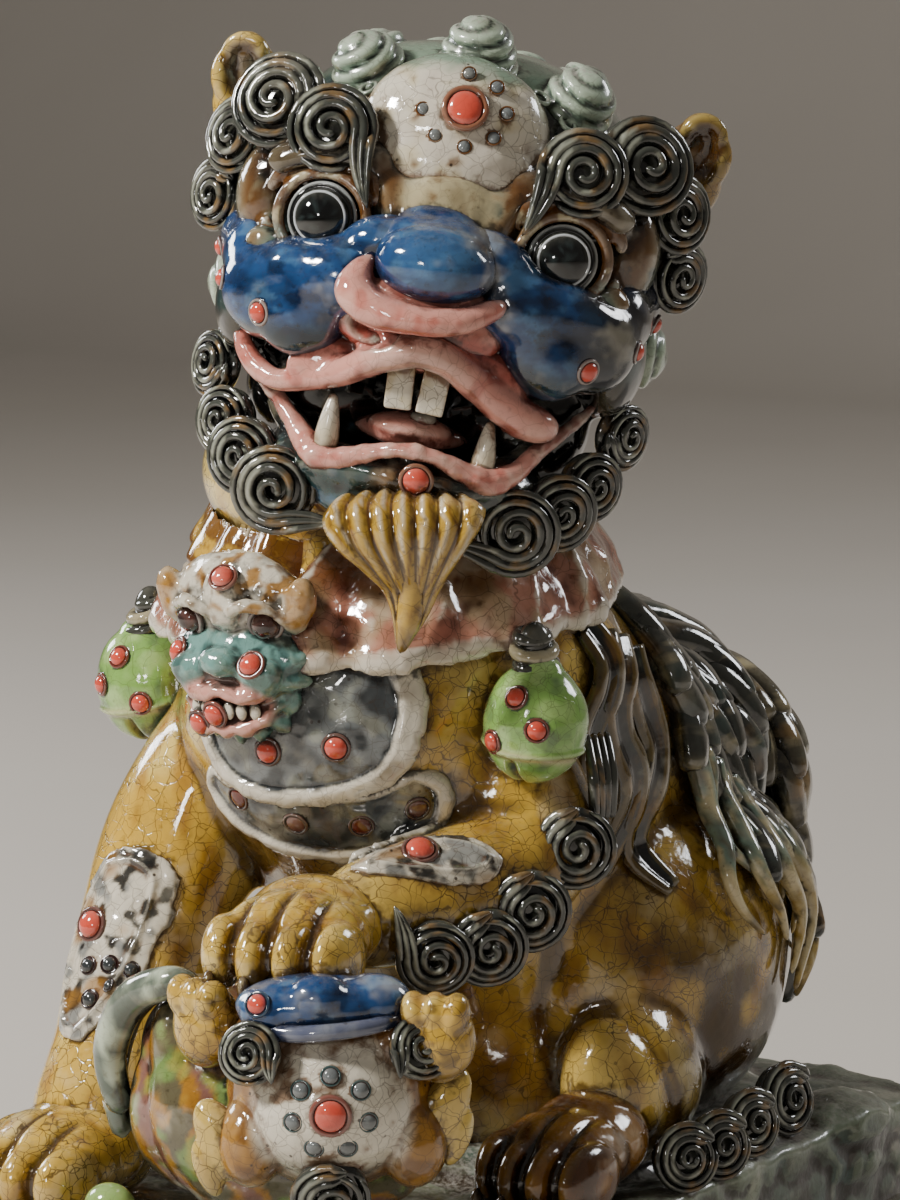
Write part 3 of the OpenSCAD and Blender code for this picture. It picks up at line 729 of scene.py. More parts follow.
def make_all_glazes():
    """Every glaze on the statue."""
    make_run_group()
    make_crackle_group()
    make_pool_and_shade_group()
    make_speck_group()
    make_dust_group()
    # The colour after each glaze's name is its dark in the nooks, as pooled glaze and painted shade; the
    # next is its pale over raised edges.
    make_glaze("amber_glaze", AMBER_DARK * 0.35, AMBER_PALE, cover=0.55, crack=0.85)
    make_glaze("honey_glaze", AMBER_DARK * 0.4, AMBER, run=0.5, crack=0.6, breaking=0.15)
    make_glaze("cobalt_glaze", COBALT_DARK * 0.5, COBALT_PALE, run=0.7, crack=0.15, specks=0.4,
               breaking=0.5)
    make_glaze("pink_glaze", MAROON, IVORY, run=0.3, crack=0.25, specks=0.3, breaking=0.35)
    make_glaze("collar_glaze", MAROON * 0.7, IVORY, crack=0.6, specks=0.6, breaking=0.7)
    make_glaze("ivory_glaze", AMBER_DARK, IVORY, run=0.35, crack=0.5, specks=0.9, breaking=0.3)
    make_glaze("charcoal_glaze", CHARCOAL * 0.3, ASH, run=0.3, crack=0.1, specks=0.2, breaking=0.12,
               dust=0.08)
    make_glaze("eye_glaze", CHARCOAL, ASH, run=0.2, crack=0.0, specks=0.0, breaking=0.0, pooling_and_shade=0.3,
               roughness=0.05, rippling=0.05)
    make_glaze("red_glaze", MAROON * 0.4, PINK, run=0.25, crack=0.1, specks=0.2, breaking=0.2)
    make_glaze("grey_glaze", CHARCOAL, IVORY, crack=0.35, specks=0.7, breaking=0.5)
    make_glaze("celadon_glaze", CELADON_DARK * 0.5, CELADON_PALE, crack=0.3, dust=0.9, breaking=0.8,
               roughness=0.25)
    make_glaze("leaf_glaze", CELADON_DARK, LEAF_PALE, run=0.35, cells=330.0, crack=0.5)
    make_glaze("teal_glaze", CHARCOAL * 0.5, CREAM, run=0.7, crack=0.2, breaking=0.15)
    make_glaze("umber_glaze", CHARCOAL * 0.4, AMBER, run=0.7, crack=0.3, breaking=0.15)
    make_glaze("rock_glaze", UMBER * 0.5, ROCK_PALE, run=0.9, crack=0.3, dust=0.7, breaking=0.6,
               roughness=0.3, rippling=0.5)


# ---- repeated ornaments


def curl_runs(radius, start, hand, tail, ribs=3):
    """Runs of one ribbed curl about the origin, facing +Z.

    The ribs lie side by side round the rim; the inner one winds on to the centre. `tail` is how
    many radii the ribs run straight on before the rim, drawn together to a point.
    """
    runs = []
    for rib in range(ribs):
        inmost = rib == ribs - 1
        rim = 0.89 - 0.185 * rib
        turns = 1.9 if inmost else 0.86 + 0.12 * rib
        run = []
        back = int(10 * tail)
        for i in range(back, 0, -1):
            far = i / 10
            fade = far / max(tail, 0.1)
            across = rim + (0.72 - rim) * fade ** 2 + 0.16 * far ** 2
            run.append((across, -far, 0.16 - 0.1 * fade, 0.115 * (1 - 0.7 * fade ** 1.5)))
        count = int(26 * turns)
        for i in range(count + 1):
            t = i / count * turns
            if inmost:
                reach = rim * (1 - 0.06 * t) if t < 0.5 else rim * 0.97 * math.exp(-0.95 * (t - 0.5))
                height = 0.16 + 0.13 * max(0, t - 0.6)
                thick = 0.125 - 0.02 * t
            else:
                reach = rim * (1 - 0.05 * t)
                height = (0.04, 0.15)[rib % 2] - 0.12 * max(0, t - 0.6)
                thick = 0.118 * (1 - 0.35 * t / turns)
            angle = 2 * math.pi * t
            run.append((reach * math.cos(angle), reach * math.sin(angle), height, thick))
        spin = math.radians(start)
        placed = []
        for x, y, z, thickness in round_ends(run, 0.05, 0.3):
            x, y = x * math.cos(spin) - y * math.sin(spin), x * math.sin(spin) + y * math.cos(spin)
            placed.append((x * hand * radius, y * radius, z * radius, thickness * radius))
        runs.append(placed)
    return runs


def curl_colour(points, normals):
    """Near-black glaze whose faces looking out of the curl go slate and whose rib tops go cream and grey:
    partly the glaze breaking there, partly painted highlight.
    """
    patchy = rough(points, 7, 3.1)
    colours = np.tile(CHARCOAL, (len(points), 1))
    # painted light: faces that look out of the curl go slate grey, so the grooves stay darkest
    colours = mix(colours, SLATE * 0.22, ramp(normals[:, 2] + 0.3 * patchy, 0.5, 1.0) * 0.8)
    pale = CREAM + (ASH - CREAM) * ramp(patchy, -0.2, 0.3)[:, None]
    colours = mix(colours, HONEY * 0.6, ramp(rough(points, 5, 8.1), 0.25, 0.5) * 0.7)
    # rib tops go cream and grey in patches: glaze breaking there, and painted highlight
    return mix(colours, pale, ramp(normals[:, 2] + 0.6 * patchy, 1.0, 1.18) * 0.9)


def curl(bench, at, out, radius, start=0, hand=1, tail=0.3, up=(0, 0, 1), ribs=3):
    """One finished curl on a dark rounded bed."""
    flat = Matrix.Identity(4)
    coil = strands(flat, curl_runs(radius, start, hand, tail, ribs))
    bed = ball(flat, (0, 0, -radius * 0.30), (radius * 0.88, radius * 0.88, radius * 0.34))
    obj = join([coil, bed])
    tidy(obj, 0.001)
    tint(obj, flat, curl_colour)
    return settle(obj, bench @ facing(at, out, up))


def stud(bench, at, out, radius, colour=RED, collar_colour=CHARCOAL, lift=0.5):
    """Domed stud in a raised ring."""
    spot = facing(at, out)
    dome = ball(bench @ spot, (0, 0, 0), (radius * 0.82, radius * 0.82, radius * lift))
    tint(dome, bench, flat_tint(colour))
    rim = ring(bench, spot, radius * 0.92, radius * 0.16)
    tint(rim, bench, flat_tint(collar_colour))
    return [dome, rim]


# ---- body pieces

TOES = 4


def amber_colour(points, normals):
    """Honey amber that runs pale over the swells; painted shade makes it browner on down faces and dark low
    down.
    """
    drift = rough(points, 34, 7.7, 3)
    streak = rough(points * np.array([1, 1, 0.35]), 7, 1.3, 2)
    # painted shade: faces that look down go browner
    under = ramp(-normals[:, 2], 0.2, 0.85)
    # painted shade: dark umber towards the bottom, broken up in patches
    low = ramp(-points[:, 2], -70, -38) * ramp(rough(points, 14, 5.0), -0.5, 0.3)
    return lay_coats(points, AMBER, [
        (AMBER_PALE, ramp(drift, 0.0, 0.5) * 0.7),
        (HONEY, ramp(streak + drift * 0.4, 0.1, 0.55) * 0.75),
        (AMBER_DARK, ramp(-drift + 0.4 * streak, 0.2, 0.7) * 0.65),
        (AMBER_DARK * 0.5, under * 0.8),
        (UMBER, low * 0.7),
    ])


def build_trunk():
    """Body, neck, thighs and legs worked into one skin."""
    nodes = ("torso", "neck", "haunch_left", "haunch_right", "foreleg_left", "foreleg_right")
    parts = [blank(n) for n in nodes]
    parts += balls(
        BODY,
        ((-30, -40, 150), (26, 26, 30)),
        ((28, -38, 150), (26, 24, 28)),
        ((0, -50, 160), (44, 34, 30)),
        ((-6, -36, 222), (42, 34, 26)),
        ((0, 70, 134), (48, 46, 42)),
        ((-48, -92, 48), (17, 20, 16)),
        ((58, 6, 58), (16, 26, 24)),
        ((-58, 6, 58), (16, 26, 24)),
    )
    body = fuse(parts, 1.8, 14, 0.6)

    def muscle(points, normals):
        lumps = rough(points, 40, 2.0) * 1.3
        fold = 2.2 * near(points, (-40, -50, 112), 20, 16) * np.sin(points[:, 2] / 3.5)
        crease = -1.6 * np.exp(-((points[:, 1] + 8 + (points[:, 2] - 84) * 0.35) / 4) ** 2)
        crease *= ramp(points[:, 2], 40, 60) * (1 - ramp(points[:, 2], 110, 130))
        return lumps + fold * 0.25 + crease
    swell(body, BODY, muscle)

    def colour(points, normals):
        stains = near(points, (20, -84, 150), 40, 30) * ramp(rough(points, 13, 3.0, 3), 0.0, 0.3)
        throat = ramp(points[:, 2], 205, 222)
        # painted shade: the top of the neck, which shows through the open mouth, goes near-black
        inside = near(points, (40, -60, 250), 42, 10) * ramp(points[:, 2], 232, 240)
        # painted shade: dark brown between the forelegs, under the chest
        gap = near(points, (4, -46, 100), 30, 26) * ramp(-points[:, 2], -120, -100)
        flank = ramp(points[:, 1], 60, 110) * ramp(points[:, 2], 60, 120)
        shade = ramp(np.abs(points[:, 0]), 30, 50) * ramp(-points[:, 2] - 0.35 * points[:, 1], -128, -92)
        shade *= ramp(points[:, 1], -8, 8) * ramp(rough(points, 20, 2.0), -0.4, 0.1)
        return lay_coats(points, amber_colour(points, normals), [
            (AMBER_DARK * 0.8, stains * 0.75),
            (AMBER_PALE, throat * 0.4),
            (CHARCOAL * 0.5, inside),
            (UMBER * 0.5, gap * 0.8),
            (UMBER, flank * 0.6),
            (UMBER * 0.6, shade * 0.88),
        ])
    tint(body, BODY, colour)
    deliver(body, nodes[0], "amber", name="amber_trunk", others=nodes[1:])


def build_paw(node, glaze, colour, lean):
    """Foot with four long rounded toes parted by grooves, and small claws."""
    low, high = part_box(node)
    low, high = Vector(low) / MM, Vector(high) / MM
    mid = (low + high) / 2
    wide, long, tall = high - low
    spot = Matrix.Translation((mid.x, mid.y, low.z)) @ Matrix.Rotation(math.radians(lean), 4, "Z")
    bench = BODY @ spot
    w, l = wide * 0.47, long * 0.5
    parts = [
        ball(bench, (0, l * 0.35, tall * 0.52), (w * 0.88, l * 0.62, tall * 0.5)),
        ball(bench, (0, -l * 0.1, tall * 0.48), (w * 0.95, l * 0.66, tall * 0.47)),
    ]
    gap = w * 0.49
    for i in range(TOES):
        x = (i - (TOES - 1) / 2) * gap
        y = -l * (0.6 - 0.18 * (x / w) ** 2)
        parts.append(ball(bench, (x, y, tall * 0.38), (w * 0.27, l * 0.42, tall * 0.38),
                          (6, 0, -x / w * 14)))
    paw = fuse(parts, 0.9, 16, 0.5)

    def press(points, normals):
        lane = points[:, 0] / gap
        away = np.abs(lane - np.round(lane)) * gap
        front = ramp(-points[:, 1], -l * 0.15, l * 0.35) * (np.abs(points[:, 0]) < gap * 1.5)
        return -1.5 * np.exp(-(away / 1.3) ** 2) * front
    swell(paw, bench, press)

    def shade(points, normals):
        local = on_bench(spot, points)
        lane = local[:, 0] / gap
        away = np.abs(lane - np.round(lane)) * gap
        front = ramp(-local[:, 1], 0, l * 0.4) * (np.abs(local[:, 0]) < gap * 1.5)
        return mix(colour(points, normals), UMBER, np.exp(-(away / 1.1) ** 2) * front * 0.8)
    tint(paw, BODY, shade)
    claws = []
    for i in range(TOES):
        x = (i - (TOES - 1) / 2) * gap
        y = -l * (0.97 - 0.18 * (x / w) ** 2)
        claw = ball(bench, (x, y, tall * 0.16), (w * 0.08, l * 0.09, tall * 0.12), (-20, 0, -x / w * 14))
        tint(claw, bench, flat_tint(UMBER))
        claws.append(claw)
    deliver(join([paw] + claws), node, glaze)


def paw_colour(points, normals):
    base = amber_colour(points + 50, normals)
    # painted shade: darker towards the bottom of the paw
    return mix(base, UMBER, ramp(-points[:, 2], -40, -33) * 0.5)


def dark_paw_colour(points, normals):
    drift = rough(points, 12, 4.0)
    return lay_coats(points, AMBER_DARK, [
        (HONEY, ramp(drift, 0.05, 0.5) * 0.7),
        (UMBER * 0.6, ramp(-drift, 0.0, 0.5) * 0.7),
    ])


def build_paws():
    build_paw("forepaw_left", "amber", paw_colour, 12)
    build_paw("forepaw_right", "amber", paw_colour, -6)
    build_paw("hindpaw_left", "umber", dark_paw_colour, 4)
    build_paw("hindpaw_right", "umber", dark_paw_colour, -4)


def build_plinth():
    """Rock-work base with craggy sides."""
    rocks = [blank("plinth"), blank("rock_mound")]
    rng = random.Random(4)
    low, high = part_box("plinth")
    half_w, half_l = high[0] / MM, high[1] / MM
    tall = high[2] / MM
    for i in range(30):
        angle = 2 * math.pi * i / 30
        x = (half_w - 9) * max(-1, min(1, 1.25 * math.cos(angle)))
        y = (half_l - 9) * max(-1, min(1, 1.25 * math.sin(angle)))
        size = rng.uniform(10, 17)
        rocks.append(ball(BODY, (x, y, rng.uniform(8, tall - 9)), (size * 0.75, size, size * 0.7),
                          (0, 0, math.degrees(angle))))
    for i in range(12):
        angle = rng.uniform(0, 2 * math.pi)
        x, y = 60 * math.cos(angle), 30 + 85 * math.sin(angle)
        rocks.append(ball(BODY, (x, y, tall), (rng.uniform(9, 15), rng.uniform(9, 15), rng.uniform(3, 6))))
    rocks.append(ball(BODY, (74, 92, tall - 2), (16, 20, 8)))
    base = fuse(rocks, 1.9, 2, 0.5)

    def crag(points, normals):
        big = rough(points, 22, 9.0, 3)
        small = rough(points, 7, 2.0, 2)
        outside = ramp(points[:, 2], 0.8, 5)
        ledge = np.abs(np.sin(points[:, 2] / 6 + big * 3)) - 0.5
        side = 1 - np.abs(normals[:, 2])
        return outside * (-1.2 + 1.5 * big + 0.6 * small + 1.1 * ledge * side)
    swell(base, BODY, crag)
    points, _ = read_points(base)
    points[:, 0] = np.clip(points[:, 0], low[0] - 0.004, high[0] + 0.004)
    points[:, 1] = np.clip(points[:, 1], low[1] - 0.004, high[1] + 0.004)
    points[:, 2] = np.maximum(points[:, 2], 0)
    write_points(base, points)

    def colour(points, normals):
        drift = rough(points, 30, 6.0, 3)
        brown = ramp(rough(points, 18, 1.0), 0.15, 0.55)
        return lay_coats(points, ROCK, [
            (ROCK_PALE, ramp(drift, 0.0, 0.5) * 0.7),
            (TEAL, ramp(-drift, 0.05, 0.5) * 0.6),
            (UMBER, brown * 0.6),
            (CREAM * 0.5, ramp(-points[:, 2], -2.5, -0.5) * 0.8),
        ])
    tint(base, BODY, colour)
    deliver(base, "plinth", "rock", name="rock_plinth", others=("rock_mound",))


# ---- head pieces


def build_skull():
    """Cranium with brow ridges, temples and muzzle; palate and back of the mouth underneath."""
    parts = [blank("skull")]
    for s in (-1, 1):
        parts += balls(
            HEAD,
            ((s * 30, -43, 31), (18, 8, 7), (0, s * 8, 0)),
            ((s * 46, -28, 20), (9, 12, 15)),
            ((s * 14, -46, 20), (9, 7, 12)),
            ((s * 33, -42, 8), (17, 8, 7)),
            ((s * 47, -22, -8), (9, 17, 15)),
            ((s * 24, -20, -28), (21, 17, 19)),
        )
    parts.append(ball(HEAD, (0, -46, -2), (24, 11, 12)))
    parts.append(ball(HEAD, (0, -47, 22), (15, 8, 12)))
    gum = rope([(-36, -34, -25, 3), (-24, -44, -22, 3.4), (-10, -51, -16, 3.4), (2, -53, -13, 3.4),
                (13, -50, -18, 3.4), (24, -44, -24, 3.4), (35, -33, -24, 3)])
    parts.append(strands(HEAD, [gum], sides=3))
    skull = fuse(parts, 1.1, 22, 0.6)

    def socket(points, normals):
        dent = np.zeros(len(points))
        for s in (-1, 1):
            dent -= 2.5 * near(points, (s * 30, -50, 17), 14.5, 6)
        return dent
    swell(skull, HEAD, socket)

    def colour(points, normals):
        drift = rough(points, 9, 2.2, 3)
        base = np.tile(TEAL * 0.5, (len(points), 1))
        base = mix(base, CELADON_DARK, ramp(points[:, 1], -30, 0) * 0.7)
        base = mix(base, CELADON, ramp(points[:, 2] + 4 * drift, 50, 58))
        for s in (-1, 1):
            around = near(points, (s * 31, -45, 22), 25, 8)
            base = mix(base, CREAM, around * ramp(drift, -0.5, 0.1) * 0.9)
            base = mix(base, AMBER_DARK * 0.8, around * ramp(drift, -0.35, 0.05) * 0.95)
            base = mix(base, UMBER * 0.35, near(points, (s * 36, -42, 34), 18, 10) * 0.95)
            # painted shade: the sunk eye socket goes dark umber
            base = mix(base, UMBER * 0.4, near(points, (s * 30, -48, 17), 12, 3) * 0.9)
            base = mix(base, TEAL_PALE * 0.8, near(points, (s * 34, -46, 3), 12, 6) * 0.85)
        bridge = near(points, (0, -52, 26), 12, 6)
        # painted shade: the inside of the mouth goes near-black, and with it the skull below the cheeks
        mouth = ramp(-points[:, 2], 10, 14)
        ledge = mouth * ramp(-points[:, 1], 36, 44)
        return lay_coats(points, base, [
            (CREAM, bridge * 0.8),
            (AMBER_DARK, bridge * ramp(drift, 0.05, 0.4) * 0.9),
            (CHARCOAL * 0.5, mouth),
            (GREY_DARK, ledge * 0.8),
        ])
    tint(skull, HEAD, colour)
    deliver(skull, "skull", "teal")


def build_jaw():
    """Lower jaw tray with a grey gum ledge and a dark band under the lip."""
    gum = rope([(-38, -28, -30, 3), (-28, -38, -38, 3.6), (-16, -46, -43, 3.8), (0, -50, -38, 3.8),
                (16, -47, -41, 3.8), (27, -40, -37, 3.6), (36, -28, -28, 3)])
    parts = [blank("lower_jaw"), ball(HEAD, (0, -46, -44), (27, 10, 7)),
             ball(HEAD, (0, -30, -52), (30, 24, 8)),
             strands(HEAD, [gum], sides=3)]
    jaw = fuse(parts, 1.1, 5, 0.5)

    def bowl(points, normals):
        inside = near(points * np.array([1, 1, 0]), (0, -24, 0), 24, 8) * ramp(points[:, 2], -44, -40)
        return -4.5 * inside + 0.6 * rough(points, 6, 3.0)
    swell(jaw, HEAD, bowl)

    def colour(points, normals):
        drift = rough(points, 8, 1.0)
        return lay_coats(points, TEAL * 0.8, [
            (COBALT_PALE * 0.7, ramp(drift, 0.1, 0.4) * 0.5),
            (CHARCOAL, ramp(-drift, 0, 0.4) * 0.8),
            (AMBER_DARK, near(points, (4, -58, -43), 10, 5) * 0.9),
            (GREY_DARK * 0.8, ramp(points[:, 2], -43, -38)),
        ])
    tint(jaw, HEAD, colour)
    deliver(jaw, "lower_jaw", "teal")


def cobalt_colour(points, normals):
    drift = rough(points, 9, 5.5, 3)
    brush = rough(points * np.array([0.4, 1, 1.6]), 3.0, 2.5)
    return lay_coats(points, COBALT, [
        (COBALT_PALE, ramp(drift + 0.5 * brush, 0.05, 0.6) * 0.7),
        (COBALT_DARK, ramp(-drift + 0.4 * brush, 0.1, 0.6) * 0.7),
    ])


def build_cheeks():
    """Swelling blue cheeks that sweep out from the bridge of the nose."""
    sides = []
    for s in (-1, 1):
        sides += balls(
            HEAD,
            ((s * 13, -53, 15), (11, 8, 6), (0, s * 10, 0)),
            ((s * 22, -51, 4), (13, 10, 10), (0, s * 18, 0)),
            ((s * 32, -47, 4), (15, 9, 8), (0, s * 14, 0)),
            ((s * 31, -48, -7), (12, 9, 11), (0, s * 20, 0)),
            ((s * 40, -40, -3), (13, 12, 13)),
            ((s * 47, -29, 4), (8, 15, 10)),
            ((s * 50, -20, 8), (7, 13, 10)),
        )
    cheeks = fuse(sides, 1.0, 50, 0.7)
    swell(cheeks, HEAD, lambda points, normals: 1.0 + 0.5 * rough(points, 13, 3.0))

    def colour(points, normals):
        low = ramp(-points[:, 2] - np.abs(points[:, 0]) * 0.15, 3, 9)
        strokes = ramp(rough(points * np.array([0.5, 1, 1.8]), 5, 4.4, 3), 0.12, 0.42)
        rear = ramp(points[:, 1], -34, -20)
        return lay_coats(points, cobalt_colour(points, normals), [
            (TEAL * 0.35, low * 0.9),
            (COBALT_DARK * 0.5, strokes * 0.65),
            # the lion's left cheek goes near-black: partly dark glaze, partly painted shade on the side
            # away from the key light
            (CHARCOAL * 0.8, ramp(points[:, 0] + 5 * rough(points, 12, 1.7), 30, 43) * 0.93),
            (COBALT_DARK * 0.6, rear * 0.8),
        ])
    tint(cheeks, HEAD, colour)
    deliver(cheeks, "cheeks", "cobalt")


def build_nose():
    """Broad domed nose that spreads into the bridge."""
    nose = fuse(balls(
        HEAD,
        ((0, -60, 11), (15.5, 13, 10.5)),
        ((0, -55, 15), (17, 10, 8.5)),
        ((-1, -51, 20), (11, 8, 6)),
    ), 0.8, 14, 0.6)

    def colour(points, normals):
        base = cobalt_colour(points + 20, normals)
        return mix(base, COBALT_PALE, near(points, (0, -70, 14), 9, 10) * 0.4)
    tint(nose, HEAD, colour)
    deliver(nose, "nose", "cobalt")


def pink_colour(points, normals):
    drift = rough(points, 6, 8.8)
    return lay_coats(points, PINK, [
        (PINK_DEEP, ramp(drift, 0.1, 0.5) * 0.6),
        # painted shade: faces that look down go maroon
        (MAROON, ramp(-normals[:, 2] + 0.5 * drift, 0.55, 1.0) * 0.7),
    ])


def build_nostrils():
    """Pink crescent that wraps under the nose, with hollow nostrils and the groove below."""
    rim = strands(HEAD, [rope([
        (-15, -61, 11, 1.2), (-17.5, -61.5, 7.5, 3.4), (-18.5, -62.5, 2, 5.4), (-14, -65.5, -1.5, 5.0),
        (-6, -68, -2.5, 4.2), (2, -69, -2.2, 3.8), (10, -67.5, -0.5, 3.6), (16, -63.5, 2.8, 3.0),
        (19, -60, 5, 1.4),
    ])], sides=4)
    ground = [
        ball(HEAD, (-2, -51.5, -5), (22, 8.5, 11)),
        ball(HEAD, (0, -60, 3), (15, 7, 6)),
    ]
    wings = fuse([rim] + ground, 0.7, 12, 0.5)

    def press(points, normals):
        hollows = near(points, (-15, -60, -6.5), 4.4, 3) + near(points, (-10, -61.5, -8), 3.6, 3)
        return -4.5 * np.minimum(hollows, 1) + 0.3 * rough(points, 9, 1.0)
    swell(wings, HEAD, press)

    def colour(points, normals):
        base = pink_colour(points, normals)
        base = mix(base, PINK_DEEP * 1.1, ramp(-points[:, 2] - 0.12 * np.abs(points[:, 0]), 3, 6))
        # painted shade: the nostril hollows go dark maroon
        for x, z in ((-15.5, -6), (-10.5, -7.5)):
            base = mix(base, MAROON * 0.35, near(points, (x, -59.5, z), 5.0, 2.5))
        return base
    tint(wings, HEAD, colour)
    deliver(wings, "nostril_wings", "pink")


def build_lips():
    """Rolled wavy lips, thick and soft-edged."""
    upper = strands(HEAD, [rope([
        (-46, -30, -12, 1.3), (-46.5, -34, -17, 2.6), (-42, -40, -23, 2.9), (-35, -45, -25.5, 3.0),
        (-26, -49.5, -23, 3.4), (-19, -53, -20, 3.8), (-13, -57, -16, 4.2), (-7, -60, -12.5, 4.6),
        (-1, -61, -10.5, 4.6), (5, -60, -11, 4.6), (11, -57.5, -14, 4.6), (16, -54.5, -17.5, 4.6),
        (21, -52.5, -20.5, 5.0), (26.5, -50, -23.5, 5.2), (31, -47.5, -25, 5.0), (34.5, -45, -25.5, 4.0),
        (36.5, -43, -25.5, 2.4),
    ])], sides=4)
    fill = balls(
        HEAD,
        ((0, -52.5, -11), (18, 7, 6)),
        ((19, -50, -16), (10, 4.5, 7), (0, 35, 0)),
        ((-24, -48.5, -18), (10, 4.5, 6), (0, -25, 0)),
    )
    upper = fuse([upper] + fill, 0.7, 10, 0.5)

    def hollow(points):
        return np.minimum(near(points, (-15, -60, -7.5), 4.6, 3) + near(points, (-10, -61.5, -8), 3.2, 3),
                          1)
    swell(upper, HEAD, lambda points, normals: 0.3 * rough(points, 7, 1.0) - 2.5 * hollow(points))

    def upper_colour(points, normals):
        inner = ramp(points[:, 2] + 0.42 * np.abs(points[:, 0]), -8, -3)
        return lay_coats(points, pink_colour(points, normals), [
            (PINK_DEEP, inner * 0.8),
            (IVORY, ramp(-points[:, 1], 58, 65) * 0.3),
            # painted shade: the nostril hollows, where they dent the lip, go dark maroon
            (MAROON * 0.35, hollow(points) * 0.9),
        ])
    tint(upper, HEAD, upper_colour)
    deliver(upper, "upper_lip", "pink")

    lower = strands(HEAD, [rope([
        (-47, -28, -19, 1.4), (-41, -34, -25, 2.0), (-34, -39, -31, 2.2), (-28, -44, -37, 2.8), (-22, -49,
                                                                                                 -42, 3.8),
        (-15, -52.5, -41.5, 3.0), (-7, -55, -38, 2.2), (1, -57, -36, 2.0), (9, -56, -37, 2.2),
        (15, -54, -39, 2.8), (22, -51, -41, 3.8), (28, -47, -38, 3.0), (33, -42.5, -32, 2.2), (40, -36, -25,
                                                                                               1.9),
        (46, -28, -18, 1.4),
    ])], sides=4)
    lower = fuse([lower], 0.7, 3, 0.5)
    swell(lower, HEAD, lambda points, normals: 0.5 * rough(points, 5, 4.0))

    def colour(points, normals):
        side = ramp(np.abs(points[:, 0]), 28, 40)
        return lay_coats(points, pink_colour(points + 9, normals), [
            (MAROON, side * 0.8),
            (UMBER, ramp(-points[:, 2], 43, 47) * 0.8),
        ])
    tint(lower, HEAD, colour)
    deliver(lower, "lower_lip", "pink")


def build_teeth():
    """Two blunt front teeth above, two tapering fangs below."""
    front = []
    for x in (-4.3, 4.3):
        bpy.ops.object.select_all(action="DESELECT")
        bpy.ops.mesh.primitive_cube_add(size=2)
        lean = Matrix.Rotation(x * 0.012, 4, "Y")
        place = HEAD @ Matrix.Translation((x + 0.6, -55.5, -20)) @ lean @ Matrix.Diagonal((3.5, 2.2, 6.3,
                                                                                           1))
        front.append(settle(bpy.context.object, place))
    front = fuse(front, 0.45, 7, 0.5)

    def front_colour(points, normals):
        # painted shade: the join between the two front teeth goes dark brown towards the top
        tooth_gap_shade = np.exp(-((points[:, 0] - 0.6) / 1.5) ** 2) * ramp(points[:, 2], -26, -17)
        return lay_coats(points, IVORY, [
            (AMBER_DARK, tooth_gap_shade * 0.9),
            (MAROON, ramp(points[:, 2], -19, -15.5) * 0.8),
            (CREAM, ramp(rough(points, 4, 1.0), 0.0, 0.5) * 0.6),
        ])
    tint(front, HEAD, front_colour)
    fangs = []
    for s in (-1, 1):
        run = rope([(s * 20, -48, -43, 3.4), (s * 20, -49.5, -37, 3.2), (s * 20, -50, -31, 2.3),
                    (s * 20, -49.5, -26, 1.0)], 6, 0.1, 0.3)
        fangs.append(run)
    fangs = strands(HEAD, fangs, sides=3)

    def fang_colour(points, normals):
        return lay_coats(points, IVORY, [
            (CREAM, ramp(-points[:, 2], 30, 38) * 0.8),
            (AMBER_DARK, ramp(-points[:, 2], 37, 41)),
        ])
    tint(fangs, HEAD, fang_colour)
    deliver(join([front, fangs]), "teeth", "ivory")


def build_tongue():
    """Tongue with a drop of dark glaze on it."""
    tongue = fuse([
        blank("tongue"),
        ball(HEAD, (0, -42, -32), (11, 9, 4)),
        ball(HEAD, (0, -20, -33), (13, 14, 4.5)),
    ], 0.8, 4)

    def colour(points, normals):
        base = pink_colour(points, normals)
        return mix(base, MAROON, ramp(points[:, 1], -40, -20) * 0.8)
    tint(tongue, HEAD, colour)
    drop = ball(HEAD, (3, -46, -28.5), (3.4, 3, 2.4))
    tint(drop, HEAD, flat_tint(CHARCOAL))
    deliver(join([tongue, drop]), "tongue", "pink")


def build_eye(side, node):
    """Bulging eye: dark ball inside two fine raised rings."""
    look = Vector((side * 0.16, -1, 0.02)).normalized()
    centre = Vector((side * 30, -45, 17))
    spot = facing(centre, look)
    globe = ball(HEAD @ spot, (0, 0, 0.6), (8.8, 8.8, 8.4))

    def colour(points, normals):
        local = on_bench(spot, points)
        reach = np.hypot(local[:, 0], local[:, 1])
        swirl = rough(points, 2.2, 4.0)
        return lay_coats(points, CHARCOAL * 0.6, [
            (SLATE * 0.6, (1 - ramp(reach, 4.5, 6.4)) * ramp(swirl, -0.1, 0.5) * 0.7),
            (ASH, np.exp(-((reach - 6.3) / 0.35) ** 2) * 0.7),
        ])
    tint(globe, HEAD, colour)
    rings = []
    for radius, height, thick, shade in ((6.4, 6.2, 0.42, paint("#c8ccd0")), (7.6, 4.9, 0.55, CHARCOAL),
                                         (8.5, 3.5, 0.55, paint("#aeb2b0"))):
        band = ring(HEAD, spot @ Matrix.Translation((0, 0, height)), radius, thick)
        tint(band, HEAD, flat_tint(shade))
        rings.append(band)
    deliver(join([globe] + rings), node, "eye")


